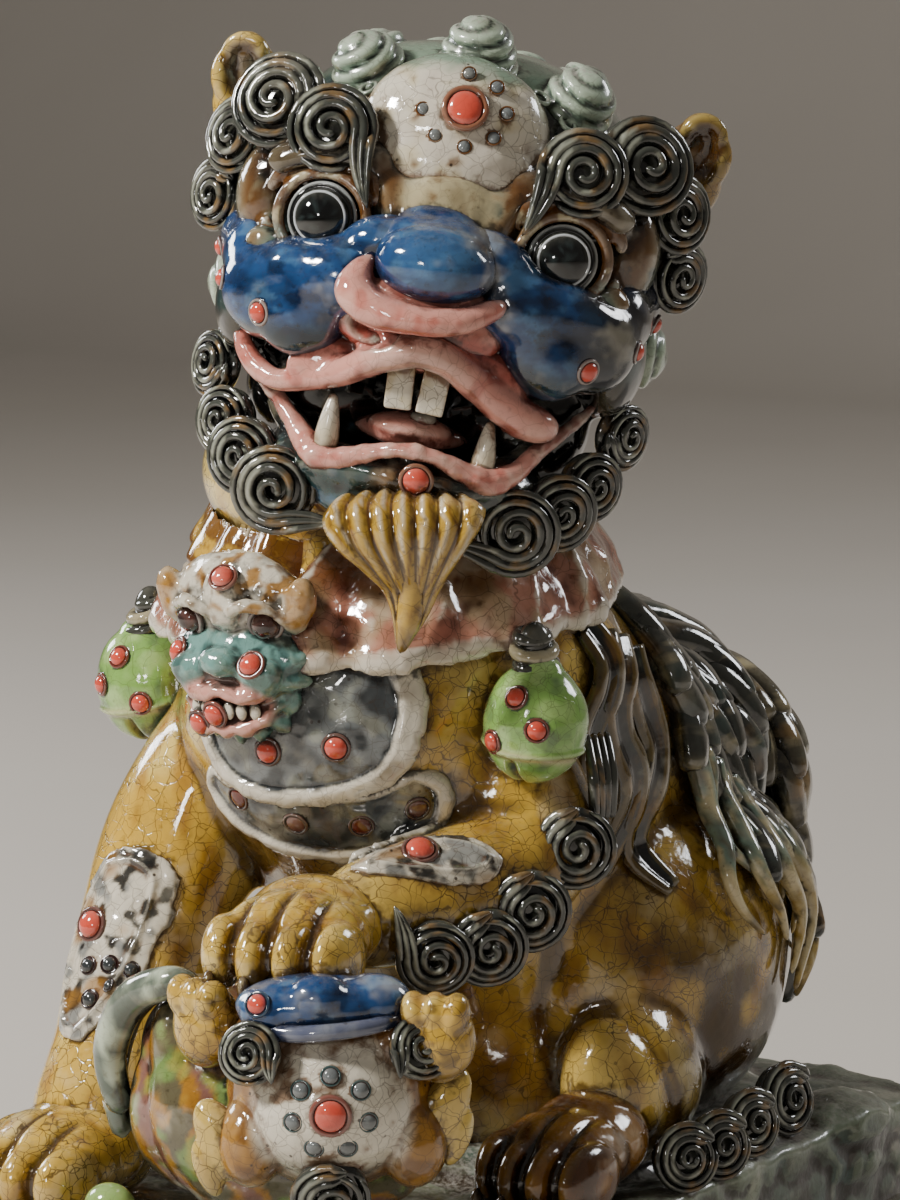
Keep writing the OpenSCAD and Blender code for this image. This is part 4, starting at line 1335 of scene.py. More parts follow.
def build_eyelids():
    """Rolled rims round both eyes with an ochre fold above and a teal rim below."""
    runs = []
    for s in (-1, 1):
        spot = facing((s * 30, -45, 17), (s * 0.2, -1, 0.02))
        for start, stop, reach, thick, lift in ((0, 360, 11.0, 1.7, 3.2), (15, 165, 15.0, 2.6, 0.6),
                                                (190, 350, 14.6, 2.4, 0.2)):
            run = []
            for i in range(25):
                angle = math.radians(start + (stop - start) * i / 24)
                place = spot @ Vector((reach * 1.05 * math.cos(angle), reach * math.sin(angle), lift))
                run.append((*place, thick))
            runs.append(run if stop - start == 360 else round_ends(run, 0.25, 0.4))
    lids = fuse([strands(HEAD, runs, sides=3)], 0.7, 9)

    def colour(points, normals):
        drift = rough(points, 6, 3.0)
        lower = ramp(-points[:, 2], -15, -11)
        return lay_coats(points, AMBER_DARK * 0.8, [
            (CREAM * 0.9, ramp(drift, 0.05, 0.35) * 0.85),
            (UMBER * 0.6, ramp(points[:, 2], 28, 32) * 0.7),
            (TEAL_PALE * 0.7, lower * 0.85),
            (TEAL * 0.6, lower * ramp(drift, 0.0, 0.4)),
        ])
    tint(lids, HEAD, colour)
    deliver(lids, "eyelids", "ivory")


def build_ear(side, node):
    """Blunt leaf-shaped ear cupped forwards."""
    parts = balls(
        HEAD,
        ((side * 51, 0, 33), (10, 8, 10)),
        ((side * 56, -2, 39), (11, 6, 12), (0, side * 22, 0)),
        ((side * 59, -4, 46), (9.5, 5, 10), (0, side * 20, 0)),
        ((side * 60, -6, 52), (6.5, 4.5, 6), (0, side * 12, 0)),
    )
    ear = fuse(parts, 0.8, 8)

    def cup(points, normals):
        line = near(points, (side * 58, -9, 45), 6, 6) + near(points, (side * 61, -9, 51), 4.5, 5)
        return -3.6 * np.minimum(line, 1) * ramp(-normals[:, 1], 0.1, 0.6)
    swell(ear, HEAD, cup)

    def colour(points, normals):
        inner = near(points, (side * 59, -7, 48), 8, 4) * ramp(-normals[:, 1], 0.0, 0.5)
        return lay_coats(points, amber_colour(points + 100, normals), [
            (UMBER, inner * 0.9),
            # painted shade: the lion's left ear, away from the key light, is darker all over
            (AMBER_DARK * 0.6, np.full(len(points), 0.55 * (side > 0))),
        ])
    tint(ear, HEAD, colour)
    deliver(ear, node, "amber")


def build_forehead():
    """White forehead boss with a chipped lower edge, red stud and a ring of beads."""
    dome = fuse(balls(
        HEAD,
        ((-2, -34, 44), (24, 14, 19), (-14, 0, 0)),
        ((-1, -41, 36), (20, 9, 12), (-8, 0, 0)),
        ((2, -46, 27), (15, 5, 3.6)),
    ), 0.9, 5)

    def chip(points, normals):
        edge = ramp(-points[:, 2], -31, -27)
        return edge * rough(points, 3.5, 1.0, 3) * 1.6 + 0.5 * rough(points, 14, 2.0)
    swell(dome, HEAD, chip)

    def colour(points, normals):
        drift = rough(points, 9, 2.0, 3)
        low = ramp(-points[:, 2] + 5 * drift, -34, -27)
        return lay_coats(points, IVORY, [
            (CREAM, ramp(drift, -0.1, 0.4) * 0.7),
            (paint("#cfc4b6"), ramp(rough(points, 14, 8.0), 0.1, 0.5) * 0.5),
            (AMBER_DARK, ramp(drift + 0.25 * rough(points, 3, 1.0), 0.28, 0.6) * 0.8),
            (AMBER_DARK, low * 0.6),
            (CELADON, ramp(points[:, 2] + 3 * drift, 56, 61)),
        ])
    tint(dome, HEAD, colour)
    deliver(dome, "forehead_dome", "ivory")

    out = Vector((0, -1, 0.35)).normalized()
    red = stud(HEAD, (0, -47.6, 50), out, 5.6, RED, AMBER_DARK, 0.36)
    deliver(join(red), "forehead_stud", "red")
    spot = facing((0, -47, 50), out)
    beads = []
    for i in range(7):
        angle = math.radians(-170 + i * 44)
        place = spot @ Vector((10.5 * math.cos(angle), 9.5 * math.sin(angle), -1.6 - 0.02 * i))
        beads += stud(HEAD, place, out, 1.9, GREY, AMBER_DARK, 0.45)
    deliver(join(beads), "forehead_beads", "grey")


def bun(bench, at, out, radius):
    """Cone of clay wound from a fat roll."""
    pitch, depth, starts = 3.9, 1.7, 2
    bpy.ops.object.select_all(action="DESELECT")
    bpy.ops.mesh.primitive_uv_sphere_add(segments=36, ring_count=54, radius=1)
    flat = Matrix.Identity(4)
    cone = settle(bpy.context.object, Matrix.Diagonal((radius * 0.86, radius * 0.86, radius * 1.75, 1)))

    def roll(points):
        angle = np.arctan2(points[:, 1], points[:, 0]) / (2 * math.pi)
        return np.abs(np.sin(math.pi * (points[:, 2] / pitch - starts * angle)))
    points, normals = read_points(cone)
    lift = depth * roll(points) ** 0.7 * ramp(radius * 1.75 - points[:, 2], 0, 5)
    write_points(cone, points + normals * lift[:, None])

    def colour(points, normals):
        drift = rough(points, 5, at[0] * 0.1)
        return lay_coats(points, CELADON, [
            (CELADON_PALE, ramp(normals[:, 2] + 0.3 * drift, 0.2, 0.8) * 0.7),
            (CELADON_DARK, ramp(-normals[:, 2] + 0.3 * drift, -0.1, 0.5) * 0.7),
            (CELADON_DARK * 0.4, ramp(-roll(points), -0.55, -0.15) * 0.9),
        ])
    tint(cone, flat, colour)
    return settle(cone, bench @ facing(at, out, (0, 1, 0)))


def build_crown():
    """Coiled buns over the forehead and down the back of the head, with ringed pits between."""
    buns = []
    for i in range(5):
        angle = math.radians(-60 + 30 * i)
        out = Vector((math.sin(angle), -0.42, math.cos(angle)))
        buns.append(bun(HEAD, Vector((49 * out.x, -20, 58 * out.z)) - out.normalized() * 3.5, out, 11.0))
    for lean, count, first, last in ((58, 4, 22, 158), (35, 6, 10, 170), (12, 7, 6, 174), (-10, 7, 8, 172)):
        for i in range(count):
            around = math.radians(first + (last - first) * i / (count - 1))
            rise = math.radians(lean)
            out = Vector((math.cos(rise) * math.cos(around), math.cos(rise) * math.sin(around),
                          math.sin(rise)))
            at = Vector((49 * out.x, 46 * out.y, 3 + 57 * out.z)) - out * 8
            buns.append(bun(HEAD, at, out, 12.4))
    for i in range(7):
        angle = math.radians(-33 + 11 * i)
        at = Vector((47 * math.sin(angle), -34 + 0.6 * abs(i - 3), 59.5 * math.cos(angle)))
        pit = ring(HEAD, facing(at, (math.sin(angle), -0.5, math.cos(angle))), 2.2, 0.7)
        tint(pit, HEAD, flat_tint(CELADON_DARK))
        buns.append(pit)
    deliver(join(buns), "crown_knots", "celadon")


def build_curl_row(node, hand, curls):
    """Row of curls on the head, each (at, out, radius, start, tail)."""
    made = [curl(HEAD, at, out, radius, start, hand, tail) for at, out, radius, start, tail in curls]
    deliver(join(made), node, "charcoal")


def build_brow_curls(side, node):
    """Four curls over one eye, the first with a long tail down to the bridge of the nose."""
    build_curl_row(node, -side, [
        ((side * 32, -47, 39), (side * 0.12, -1, 0.2), 12.0, 0, 1.5),
        ((side * 47, -38, 43), (side * 0.45, -1, 0.35), 13.5, 10, 0.9),
        ((side * 57, -26, 32), (side * 0.8, -0.9, 0.2), 11.0, 30, 0.4),
        ((side * 60, -22, 16), (side * 0.9, -0.9, 0), 10.0, 60, 0.3),
    ])


def build_jaw_curls(side, node):
    """Four curls along the jaw, the lowest with a stem in towards the chin."""
    build_curl_row(node, side, [
        ((side * 31, -45, -53), (side * 0.15, -1, -0.1), 12.0, 250, 1.2),
        ((side * 41, -38, -47), (side * 0.5, -1, -0.1), 10.8, 230, 0.5),
        ((side * 48, -29, -40), (side * 0.7, -0.9, 0), 9.6, 210, 0.4),
        ((side * 54, -20, -27), (side * 1, -0.8, 0), 9.2, 200, 0.4),
    ])


def fan_section(ribs, bulge, depth, base=-0.12):
    """Outline two units wide with a ribbed, rounded top."""
    steps = ribs * 6
    outline = []
    for i in range(steps + 1):
        u = i / steps
        outline.append((2 * u - 1,
                        bulge * math.sin(math.pi * u) ** 0.7 + depth * abs(math.sin(math.pi * ribs * u))))
    outline += [(0.9, base), (-0.9, base)]
    return outline


def build_goatee():
    """Beard like a ribbed fan, drawn to a point."""
    path = smooth_path([
        (2.5, -54, -49, 17), (3, -60, -51.5, 20.5), (4.5, -62, -57, 18.5), (6.5, -61, -64, 12.5),
        (8, -58.5, -70.5, 7.4), (8.5, -57, -77, 4.6), (8, -56, -85, 1.6),
    ], 6)
    spot = Matrix(((1, 0, 0, 0), (0, 0, -1, 0), (0, 1, 0, 0), (0, 0, 0, 1)))
    runs = [[(x, z, -y, r) for x, y, z, r in path]]
    fan = strands(HEAD @ spot, runs, fan_section(7, 0.14, 0.085), flat=True)
    core = strands(HEAD,
                   [rope([(4, -57, -54, 3), (6.5, -58, -63, 4), (8.3, -57, -72, 3.8), (8.6, -57, -79, 3.2),
                                (8, -56, -87, 1.2)])], sides=4)
    beard = join([fan, core])

    def colour(points, normals):
        level = np.clip((-points[:, 2] - 47) / 38, 0, 1)
        middle_x = 2 + 6.5 * level
        width = np.interp(-points[:, 2], [49, 51.5, 57, 64, 70.5, 77, 85],
                          [17, 20.5, 18.5, 12.5, 7.4, 4.6, 1.6])
        rib = np.abs(np.sin(np.pi * 7 * ((points[:, 0] - middle_x) / (2 * width) + 0.5)))
        ridge = ramp(rib, 0.93, 1.0) * (1 - ramp(-points[:, 2], 60, 68))
        return lay_coats(points, AMBER * 0.8, [
            (AMBER_DARK, ramp(-rib, -0.5, -0.1) * 0.9),
            (IVORY * 0.9, ridge * 0.85),
            (UMBER, ramp(-points[:, 2], 78, 86) * 0.8),
        ])
    tint(beard, HEAD, colour)
    deliver(beard, "goatee", "honey")


def build_face_studs():
    """Red studs on the cheeks and on the chin."""
    made = []
    cheeks = skin_tree([bpy.data.objects["cheeks_glazed"]])
    for s in (-1, 1):
        for at, radius in (((s * 51, -30, 3), 2.9), ((s * 46, -37, -3), 2.9), ((s * 37, -44, -9), 3.3)):
            place, out = touch(cheeks, HEAD, (at[0] * 1.3, at[1] * 1.5, at[2]), (-s * 0.45, 1, 0))
            made += stud(HEAD, place, out, radius, RED, paint("#8f8a86"), 0.6)
    made += stud(HEAD, (4.5, -58.5, -43), (0, -1, -0.1), 4.2, RED, AMBER_DARK, 0.5)
    deliver(join(made), "face_studs", "red")


# ---- chest ornaments


def build_collar():
    """Cloth-like collar with shallow folds and a ragged white hem."""
    collar = fuse([blank("collar")], 1.0, 4)

    def folds(points, normals):
        angle = np.arctan2(points[:, 1] + 24, points[:, 0])
        lean = rough(points, 30, 3.3) * 2.6
        pleat = np.sin(angle * 17 + lean + (points[:, 2] - 180) * 0.06)
        crease = 1 - np.abs(np.sin(angle * 7 - (points[:, 2] - 190) * 0.05 + 1.1 * np.sin(angle * 3)))
        hem = 188 + 8 * np.sin(angle)
        tuck = 9 * ramp(points[:, 2] - hem, 9, 15) * (1 - ramp(points[:, 0], -6, 12))
        lip = 0.4 * (1 - ramp(points[:, 2] - hem, 1, 5))
        return -tuck + 0.8 * pleat + 1.3 * crease ** 2 + 0.4 * rough(points, 5, 1.0) + lip
    swell(collar, BODY, folds)

    def colour(points, normals):
        angle = np.arctan2(points[:, 1] + 24, points[:, 0])
        hem = 188 + 8 * np.sin(angle)
        drift = rough(points * np.array([1, 1, 0.5]), 12, 4.0, 3)
        throat = ramp(points[:, 2] - hem + 3 * drift, 9,
                      13) * (1 - ramp(points[:, 0], -4, 8)) * ramp(-points[:, 1], 20, 34)
        edge = 1 - ramp(points[:, 2] - hem + 3 * drift, -0.5, 2.5)
        return lay_coats(points, paint("#ae7862"), [
            (CREAM * 0.8, ramp(drift, 0.0, 0.4) * 0.6),
            (MAROON, ramp(-drift, 0.05, 0.45) * 0.7),
            (AMBER_DARK, ramp(points[:, 2] - hem + 6 * drift, 12, 20) * 0.8),
            (AMBER, throat * 0.9),
            (IVORY, edge * 0.85),
        ])
    tint(collar, BODY, colour)
    deliver(collar, "collar", "collar")


def build_mask():
    """Little beast face in relief on the breast."""
    bench = BODY @ Matrix.Translation((-5, -86, 182)) @ Matrix.Rotation(math.radians(8), 4, "X")
    base = balls(
        bench,
        ((0, 2, 13), (20, 8, 13)),
        ((0, 0, -4), (21, 9, 13)),
        ((0, 0, -15), (17, 8, 9)),
    )
    face = fuse(base, 0.8, 12, 0.6)
    lumps = [
        face,
        *balls(
            bench,
            ((0, -9, -1), (6, 5, 4)),
            ((-10, -7, -4), (7, 4, 5)),
            ((10, -7, -4), (7, 4, 5)),
            ((0, -6, 15), (6, 3, 8)),
            ((19, 0, 13), (5, 4, 8), (0, 24, 0)),
            ((-19, 0, 13), (5, 4, 8), (0, -24, 0)),
        ),
    ]
    folds = strands(bench, [
        rope([(s * 3, -8, 11, 1.3), (s * 8, -9, 14.5, 1.9), (s * 14, -6, 13, 1.6), (s * 18, -3, 9, 1.0)])
        for s in (-1, 1)
    ] + [
        rope([(-17, -4, -6, 1.4), (-8, -9, -9.5, 2.4), (0, -10, -8.5, 2.2), (8, -9, -9.5, 2.4),
              (17, -4, -6, 1.4)]),
        rope([(-15, -4, -12, 1.4), (-7, -8, -18, 2.2), (7, -8, -18, 2.2), (15, -4, -12, 1.4)]),
    ], sides=3)
    face = fuse(lumps + [folds], 0.7, 4)

    def frill(points, normals):
        rim = ramp(np.hypot(points[:, 0], points[:, 2] + 2), 16, 22) * ramp(-points[:, 2], -8, 0)
        around = np.arctan2(points[:, 2] + 2, points[:, 0])
        return 1.3 * rim * np.sin(around * 19) + 0.5 * rough(points, 4, 1.0)
    swell(face, bench, frill)

    def colour(points, normals):
        drift = rough(points, 5, 2.0)
        brow = ramp(points[:, 2] + 2 * drift, 6, 9)
        side = ramp(np.abs(points[:, 0]), 16, 19) * ramp(points[:, 2], 5, 9)
        mouth = near(points * np.array([0.7, 1, 1.2]), (0, -9, -15.5), 10, 2.5)
        snout = near(points, (0, -13, 0), 6.5, 3)
        return lay_coats(points, TEAL_PALE, [
            (TEAL * 0.7, ramp(drift, 0.0, 0.4) * 0.7),
            (IVORY, brow * 0.95),
            (HONEY, brow * ramp(-drift, 0.0, 0.4) * 0.9),
            (AMBER_DARK, brow * ramp(rough(points, 3.5, 6.0), 0.2, 0.5) * 0.7),
            (HONEY, side * 0.8),
            (PINK, mouth * 0.95),
            (TEAL_PALE * 1.2, snout * 0.7),
        ])
    tint(face, bench, colour)
    teeth = []
    for i in range(6):
        tooth = ball(bench, ((i - 2.5) * 3.6, -9.8 + 0.25 * abs(i - 2.5) ** 2, -13.6), (1.7, 1.1, 2.4))
        tint(tooth, bench, flat_tint(IVORY))
        teeth.append(tooth)
    deliver(join([face] + teeth), "chest_mask", "teal")


BREAST = BODY @ facing((0, 0, 0), (0, -1, 0))
UPPER_BIB = ((-8, 184), (12, 184), (31, 182), (37, 173), (37.5, 161), (33, 151), (21, 144.5), (4, 142.5),
             (-10, 146), (-18, 154), (-21, 165), (-19, 176))
LOWER_BIB = ((-18, 150), (-6, 146), (10, 145), (26, 146), (36, 151), (41, 146), (39, 136), (30, 130),
             (16, 127),
             (0, 128.5), (-12, 134), (-20, 143))


def build_bib(node, outline, border, ground):
    """Plate laid on the breast, with a raised white border."""
    tree = skin_tree([bpy.data.objects["amber_trunk"]])
    slab = plate(tree, BREAST, outline, 4.0, 140, 0.9)
    slab = fuse([slab], 0.8, 12)

    def rim(points, normals):
        return 1.5 * (1 - ramp(edge_distance(points, outline), border, border + 1.6)) + 0.4 * rough(points,
                                                                                                    6, 1.0)
    swell(slab, BREAST, rim)

    def colour(points, normals):
        drift = rough(points, 7, 6.0)
        white = 1 - ramp(edge_distance(points, outline) + 0.8 * drift, border, border + 1.3)
        return lay_coats(points, ground, [
            (GREY_DARK, ramp(drift, -0.05, 0.3) * 0.85),
            (ASH, ramp(-drift, 0.15, 0.5) * 0.5),
            (IVORY, white * 0.95),
        ])
    tint(slab, BREAST, colour)
    deliver(slab, node, "grey")


def build_chest_studs():
    """Studs on the mask, both bib plates and the bells, and the mask's ball eyes."""
    made = []
    names = ("bib_upper_glazed", "bib_lower_glazed", "chest_mask_glazed", "bell_left_glazed",
             "bell_right_glazed")
    tree = skin_tree([bpy.data.objects[name] for name in names])

    def add(x, z, radius, colour, rim, lift=0.6):
        at, out = touch(tree, BREAST, (x, z, 140), (0, 0, -1))
        made.extend(stud(BREAST, at, out, radius, colour, rim, lift))

    for x, z in ((-13, 163), (3, 156), (21, 158)):
        add(x, z, 3.7, RED, CHARCOAL)
    for x, z in ((-9, 142), (7, 136.5), (23, 136.5), (35, 141)):
        add(x, z, 3.3, MAROON, CHARCOAL, 0.25)
    for x, z in ((-21, 181), (5, 180), (-7, 166), (-3, 202)):
        add(x, z, 3.7, RED, MAROON)
    for x in (-16.5, 6.5):
        add(x, 190, 4.6, CHARCOAL, paint("#6d7a78"), 0.85)
    low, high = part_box("bell_left")
    middle_x, middle_z = (low[0] + high[0]) / 2 / MM, (low[2] + high[2]) / 2 / MM
    for side in (-1, 1):
        for dx, dz in ((-6, -4), (1, 8), (7, 0)):
            add(side * (middle_x + dx), middle_z + dz, 3.1, RED, MAROON)
    deliver(join(made), "chest_studs", "red")


def build_bell(node, side):
    """Egg-shaped harness bell with a raised seam and a slit."""
    bench = BODY @ Matrix.Translation(middle(node) / MM) @ Matrix.Rotation(math.radians(8 * side), 4, "Y")
    bell = fuse([ball(bench, (0, 0, 0), (14, 12.6, 16)), ball(bench, (0, 0, 13), (6, 6, 5))], 0.7, 3)

    def press(points, normals):
        seam = np.exp(-((points[:, 2] + 7 - 0.12 * points[:, 0] ** 2 * 0.1) / 0.9) ** 2)
        slit = np.exp(-(points[:, 0] / 1.0) ** 2) * ramp(-points[:, 2], 8, 11)
        return 0.9 * seam - 2.2 * slit + 0.3 * rough(points, 9, 1.0)
    swell(bell, bench, press)

    def colour(points, normals):
        drift = rough(points, 7, 3.0)
        seam = np.exp(-((points[:, 2] + 7) / 1.2) ** 2)
        slit = np.exp(-(points[:, 0] / 1.4) ** 2) * ramp(-points[:, 2], 8, 11)
        return lay_coats(points, LEAF, [
            (LEAF_PALE, ramp(drift, -0.1, 0.4) * 0.8),
            (CELADON_DARK, ramp(-drift, 0.2, 0.6) * 0.5),
            (CREAM, seam * 0.8),
            (UMBER, slit),
        ])
    tint(bell, bench, colour)
    deliver(bell, node, "leaf")


def build_bell_knots():
    """Twisted cord above each bell."""
    made = []
    for node, side in (("bell_left", 1), ("bell_right", -1)):
        low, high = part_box(node)
        top = Vector(((low[0] + high[0]) / 2, (low[1] + high[1]) / 2, high[2])) / MM
        for level, reach, thick in ((-1, 4.4, 2.0), (2.6, 4.6, 2.0), (6, 3.6, 1.8)):
            loop = ring(BODY, facing(top + Vector((-side * level * 0.3, level * 0.2, level)),
                                     (side * 0.2, -0.3, 1),
                                     (0, 1, 0)), reach, thick)
            shade = CREAM * 0.6 if level == 2.6 else CHARCOAL
            made.append(tint(loop, BODY, flat_tint(shade)))
        plug = ball(BODY, top + Vector((-side, 1, 4)), (4.4, 4.4, 6))
        made.append(tint(plug, BODY, flat_tint(CHARCOAL)))
    deliver(join(made), "bell_knots", "charcoal")


# ---- leg ornaments


def spotted_colour(points, normals):
    """White patch clouded grey and black."""
    drift = rough(points, 7, 2.0)
    return lay_coats(points, IVORY * 0.95, [
        (GREY, ramp(drift, 0.0, 0.3) * 0.8),
        (CHARCOAL, ramp(rough(points, 5, 9.0), 0.08, 0.35) * 0.95),
        (HONEY, ramp(rough(points, 12, 4.0), 0.25, 0.6) * 0.7),
    ])


def build_leg_patches():
    """Spotted shields laid on both forelegs, each with a raised rim line, studs and beads."""
    tree = skin_tree([bpy.data.objects["amber_trunk"]])
    outer = BODY @ facing((0, 0, 0), (-0.35, -1, 0))
    upper = BODY @ facing((45, -78, 136), (0.4, -0.6, 0.7))
    shields = (
        (outer, ((-23, 123), (-13, 126), (-4, 120), (-2.5, 105), (-4, 90), (-9, 79), (-14, 75), (-23, 79),
                 (-27, 96), (-27, 112))),
        (upper, ((-19, -9), (-10, -1), (0, 4), (12, 4), (21, -1), (19, -8), (10, -12), (-4, -13),
                 (-14, -12))),
    )
    made = []
    for bench, outline in shields:
        slab = fuse([plate(tree, bench, outline, 2.6, 160, 0.9)], 0.7, 12)

        def rim(points, normals):
            away = edge_distance(points, outline)
            return 0.9 * np.exp(-((away - 3.6) / 0.7) ** 2) + 0.4 * rough(points, 5, 1.0)
        swell(slab, bench, rim)
        tint(slab, bench, spotted_colour)
        made.append(slab)
    shields = join(made)
    tree = skin_tree([shields])
    deliver(shields, "leg_patches", "ivory")
    studs = []
    for bench, x, y, radius, colour in (
        (outer, -19.5, 105, 4.6, RED), (upper, 0, -3, 4.6, RED), (outer, -16, 95, 2.5, GREY_DARK),
        (outer, -10, 96, 2.5, GREY_DARK), (outer, -5, 95, 2.3, GREY_DARK), (outer, -12, 87, 2.6, GREY_DARK),
        (outer, -8, 91, 2.0, GREY_DARK),
    ):
        at, out = touch(tree, bench, (x, y, 160), (0, 0, -1))
        studs += stud(bench, at, out, radius, colour, CHARCOAL, 0.6)
    deliver(join(studs), "leg_studs", "red")


def build_leg_curls():
    """Curls under the raised foreleg, fed by strands, and behind the straight leg."""
    made = [
        curl(BODY, (70, -43, 131), (0.85, -0.95, 0), 11.5, 120, 1, 0.5),
        curl(BODY, (67, -60, 117), (0.85, -0.9, -0.1), 11.5, 120, 1, 0.5),
        curl(BODY, (62, -72, 109), (0.8, -0.9, -0.2), 11, 120, 1, 0.5),
        curl(BODY, (55, -86, 108), (0.75, -0.9, -0.2), 10.5, 180, 1, 1.4),
        curl(BODY, (-60, -48, 118), (-1, 0.4, 0), 9.5, 120, -1, 0.4),
        curl(BODY, (-60, -56, 98), (-1, 0.4, 0), 9, 120, -1, 0.4),
        curl(BODY, (-61, -64, 79), (-1, 0.4, 0), 8.5, 120, -1, 0.4),
    ]
    feeders = strands(BODY, [
        rope([(64 + i * 0.6, -28 + i * 2.2, 158, 1.2), (69 + i * 0.6, -33 + i * 2.2, 148, 1.6),
              (69 + i * 0.4, -32 + i * 2, 136, 1.5)], 8) for i in range(4)
    ])
    tint(feeders, BODY, lambda points, normals: curl_colour(points, np.abs(normals[:, [0, 2, 1]])))
    deliver(join(made + [feeders]), "leg_curls", "charcoal")


def build_haunch_curls():
    """Curls along the foot of each thigh."""
    made = []
    for s in (-1, 1):
        for i, (x, y, z, radius) in enumerate(((81, -4, 42, 10), (81, 14, 41.5, 10.2), (80, 33, 43.5, 10),
                                               (76, 60, 44, 11))):
            made.append(curl(BODY, (s * x, y, z), (s, -0.7 + 0.15 * i, 0.15), radius, 60 * s, s, 0.5))
    deliver(join(made), "haunch_curls", "charcoal")


# ---- mane, tail, wisps


def lock_colour(points, normals):
    """Near-black glaze with teal, cream and amber streaks along the tops."""
    drift = rough(points, 11, 5.0)
    return lay_coats(points, CHARCOAL * 0.8, [
        (TEAL * 0.6, ramp(drift, 0.0, 0.4) * 0.8),
        (CREAM * 0.8, ramp(rough(points, 6, 2.0) + 0.3 * drift, 0.2, 0.5) * 0.7),
        (HONEY, ramp(rough(points, 14, 11.0), 0.36, 0.6) * 0.5),
    ])


LOCK_LENGTH = (19, 24)
LOCK_LEAN = (-11, 11)


def lock(tree, top, turn, length, lean, reach, lift, share, tip):
    """Run of one rolled lock that hangs down the skin from `top`, on the bearing `turn`.

    It leans sideways as it falls, and stands off by `lift` at its tip. `reach` is how far off, in
    metres, the skin is felt for. The run is empty where there is no skin.
    """
    points = []
    for j in range(6):
        fall = j / 5
        bearing = turn + lean * fall
        out = Vector((math.cos(bearing), math.sin(bearing), 0))
        origin = Vector((top[0], top[1], top[2] - length * fall)) * MM
        hit = tree.ray_cast(origin + out * reach, -out)[0]
        if hit is not None:
            place = hit / MM + out * (0.5 + lift * fall ** 0.8)
            points.append((*place, 4.0 + 1.3 * math.sin(math.pi * fall)))
    return rope(points, 4, share, tip) if len(points) > 3 else []


def build_mane():
    """Rows of rolled locks that lap down the back like thatch."""
    tree = skin_tree([bpy.data.objects["amber_trunk"]])
    rng = random.Random(11)
    low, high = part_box("mane_locks")
    top, foot = high[2] / MM, low[2] / MM
    runs = []
    rows, pitch = 11, 9.8
    for row in range(rows):
        height = top - 4 - (top - foot - 26) * row / (rows - 1)
        first = 6 + 0.6 * max(0, top - height - 31)
        arc = math.radians(180 - 2 * first)
        count = max(5, round(arc * (44 + 2.6 * row) / pitch))
        for i in range(count):
            spread = (i + 0.5 * (row % 2)) / (count - 0.5)
            turn = math.radians(first) + arc * spread + math.radians(rng.uniform(-2, 2))
            length = rng.uniform(*LOCK_LENGTH)
            lean = math.radians(rng.uniform(*LOCK_LEAN))
            runs.append(lock(tree, (0, 25, height + 4), turn, length, lean, 0.3, 5.8, 0.2, 0.55))
    locks = strands(BODY, filter(None, runs), sides=2)
    swell(locks, BODY, lambda points, normals: 0.25 * rough(points, 4, 6.0))
    tint(locks, BODY, lock_colour)
    deliver(locks, "mane_locks", "charcoal")


def build_tail():
    """Upright plume at the rump, thatched with rolled locks."""
    plume = fuse([
        blank("tail"),
        ball(BODY, (0, 116, 92), (43, 22, 50)),
        ball(BODY, (0, 121, 122), (39, 21, 34)),
    ], 1.6, 6)
    tint(plume, BODY, flat_tint(CHARCOAL))
    tree = skin_tree([plume])
    rng = random.Random(7)
    runs = []
    rows, count = 8, 15
    for row in range(rows):
        height = 158 - 13.5 * row
        for i in range(count):
            turn = math.radians(-35 + 250 * (i + 0.5 * (row % 2)) / count + rng.uniform(-3, 3))
            lean = math.radians(rng.uniform(*LOCK_LEAN))
            length = rng.uniform(*LOCK_LENGTH)
            runs.append(lock(tree, (0, 119, height), turn, length, lean, 0.2, 4.6, 0.16, 0.5))
    locks = strands(BODY, filter(None, runs), sides=2)
    tint(locks, BODY, lock_colour)
    deliver(join([plume, locks]), "tail", "teal")


def build_wisps():
    """Wavy flame-like wisps that hang over each hip."""
    tree = skin_tree([bpy.data.objects["amber_trunk"]])
    runs = []
    for s in (-1, 1):
        for i, (y, z, length) in enumerate(((40, 138, 50), (52, 134, 50), (64, 126, 52), (76, 116, 48),
                                            (88, 100, 38))):
            for twin in (0, 1):
                run = []
                for j in range(7):
                    share = j / 6
                    sway = 6.0 * math.sin(share * 7.0 + 1.3 * i + 0.7 * twin) * (0.3 + share)
                    here = Vector((s * 130, y + sway + 5.5 * twin, z + 6 - (length - 11 * twin) * share))
                    try:
                        at, out = touch(tree, BODY, here, (-s, -0.05, 0))
                    except RuntimeError:
                        break
                    lift = 4.4 + 3.0 * math.sin(math.pi * min(1, share + 0.15))
                    run.append((*(at + Vector((s, 0, 0)) * lift),
                                (3.7 - 2.9 * share ** 1.6) * (1 - 0.2 * twin)))
                if len(run) > 3:
                    runs.append(rope(run, 5, 0.06, 0.4))
    wisps = strands(BODY, runs, sides=3)

    def colour(points, normals):
        streak = rough(points * np.array([1, 1, 0.25]), 4, 3.0)
        return lay_coats(points, TEAL_PALE * 0.7, [
            (AMBER, ramp(-points[:, 2] + 14 * streak, -122, -100) * 0.8),
            (CREAM * 1.1, ramp(streak, -0.1, 0.2) * 0.85),
            (UMBER, ramp(-streak, 0.2, 0.5) * 0.7),
        ])
    tint(wisps, BODY, colour)
    deliver(wisps, "hip_wisps", "teal")


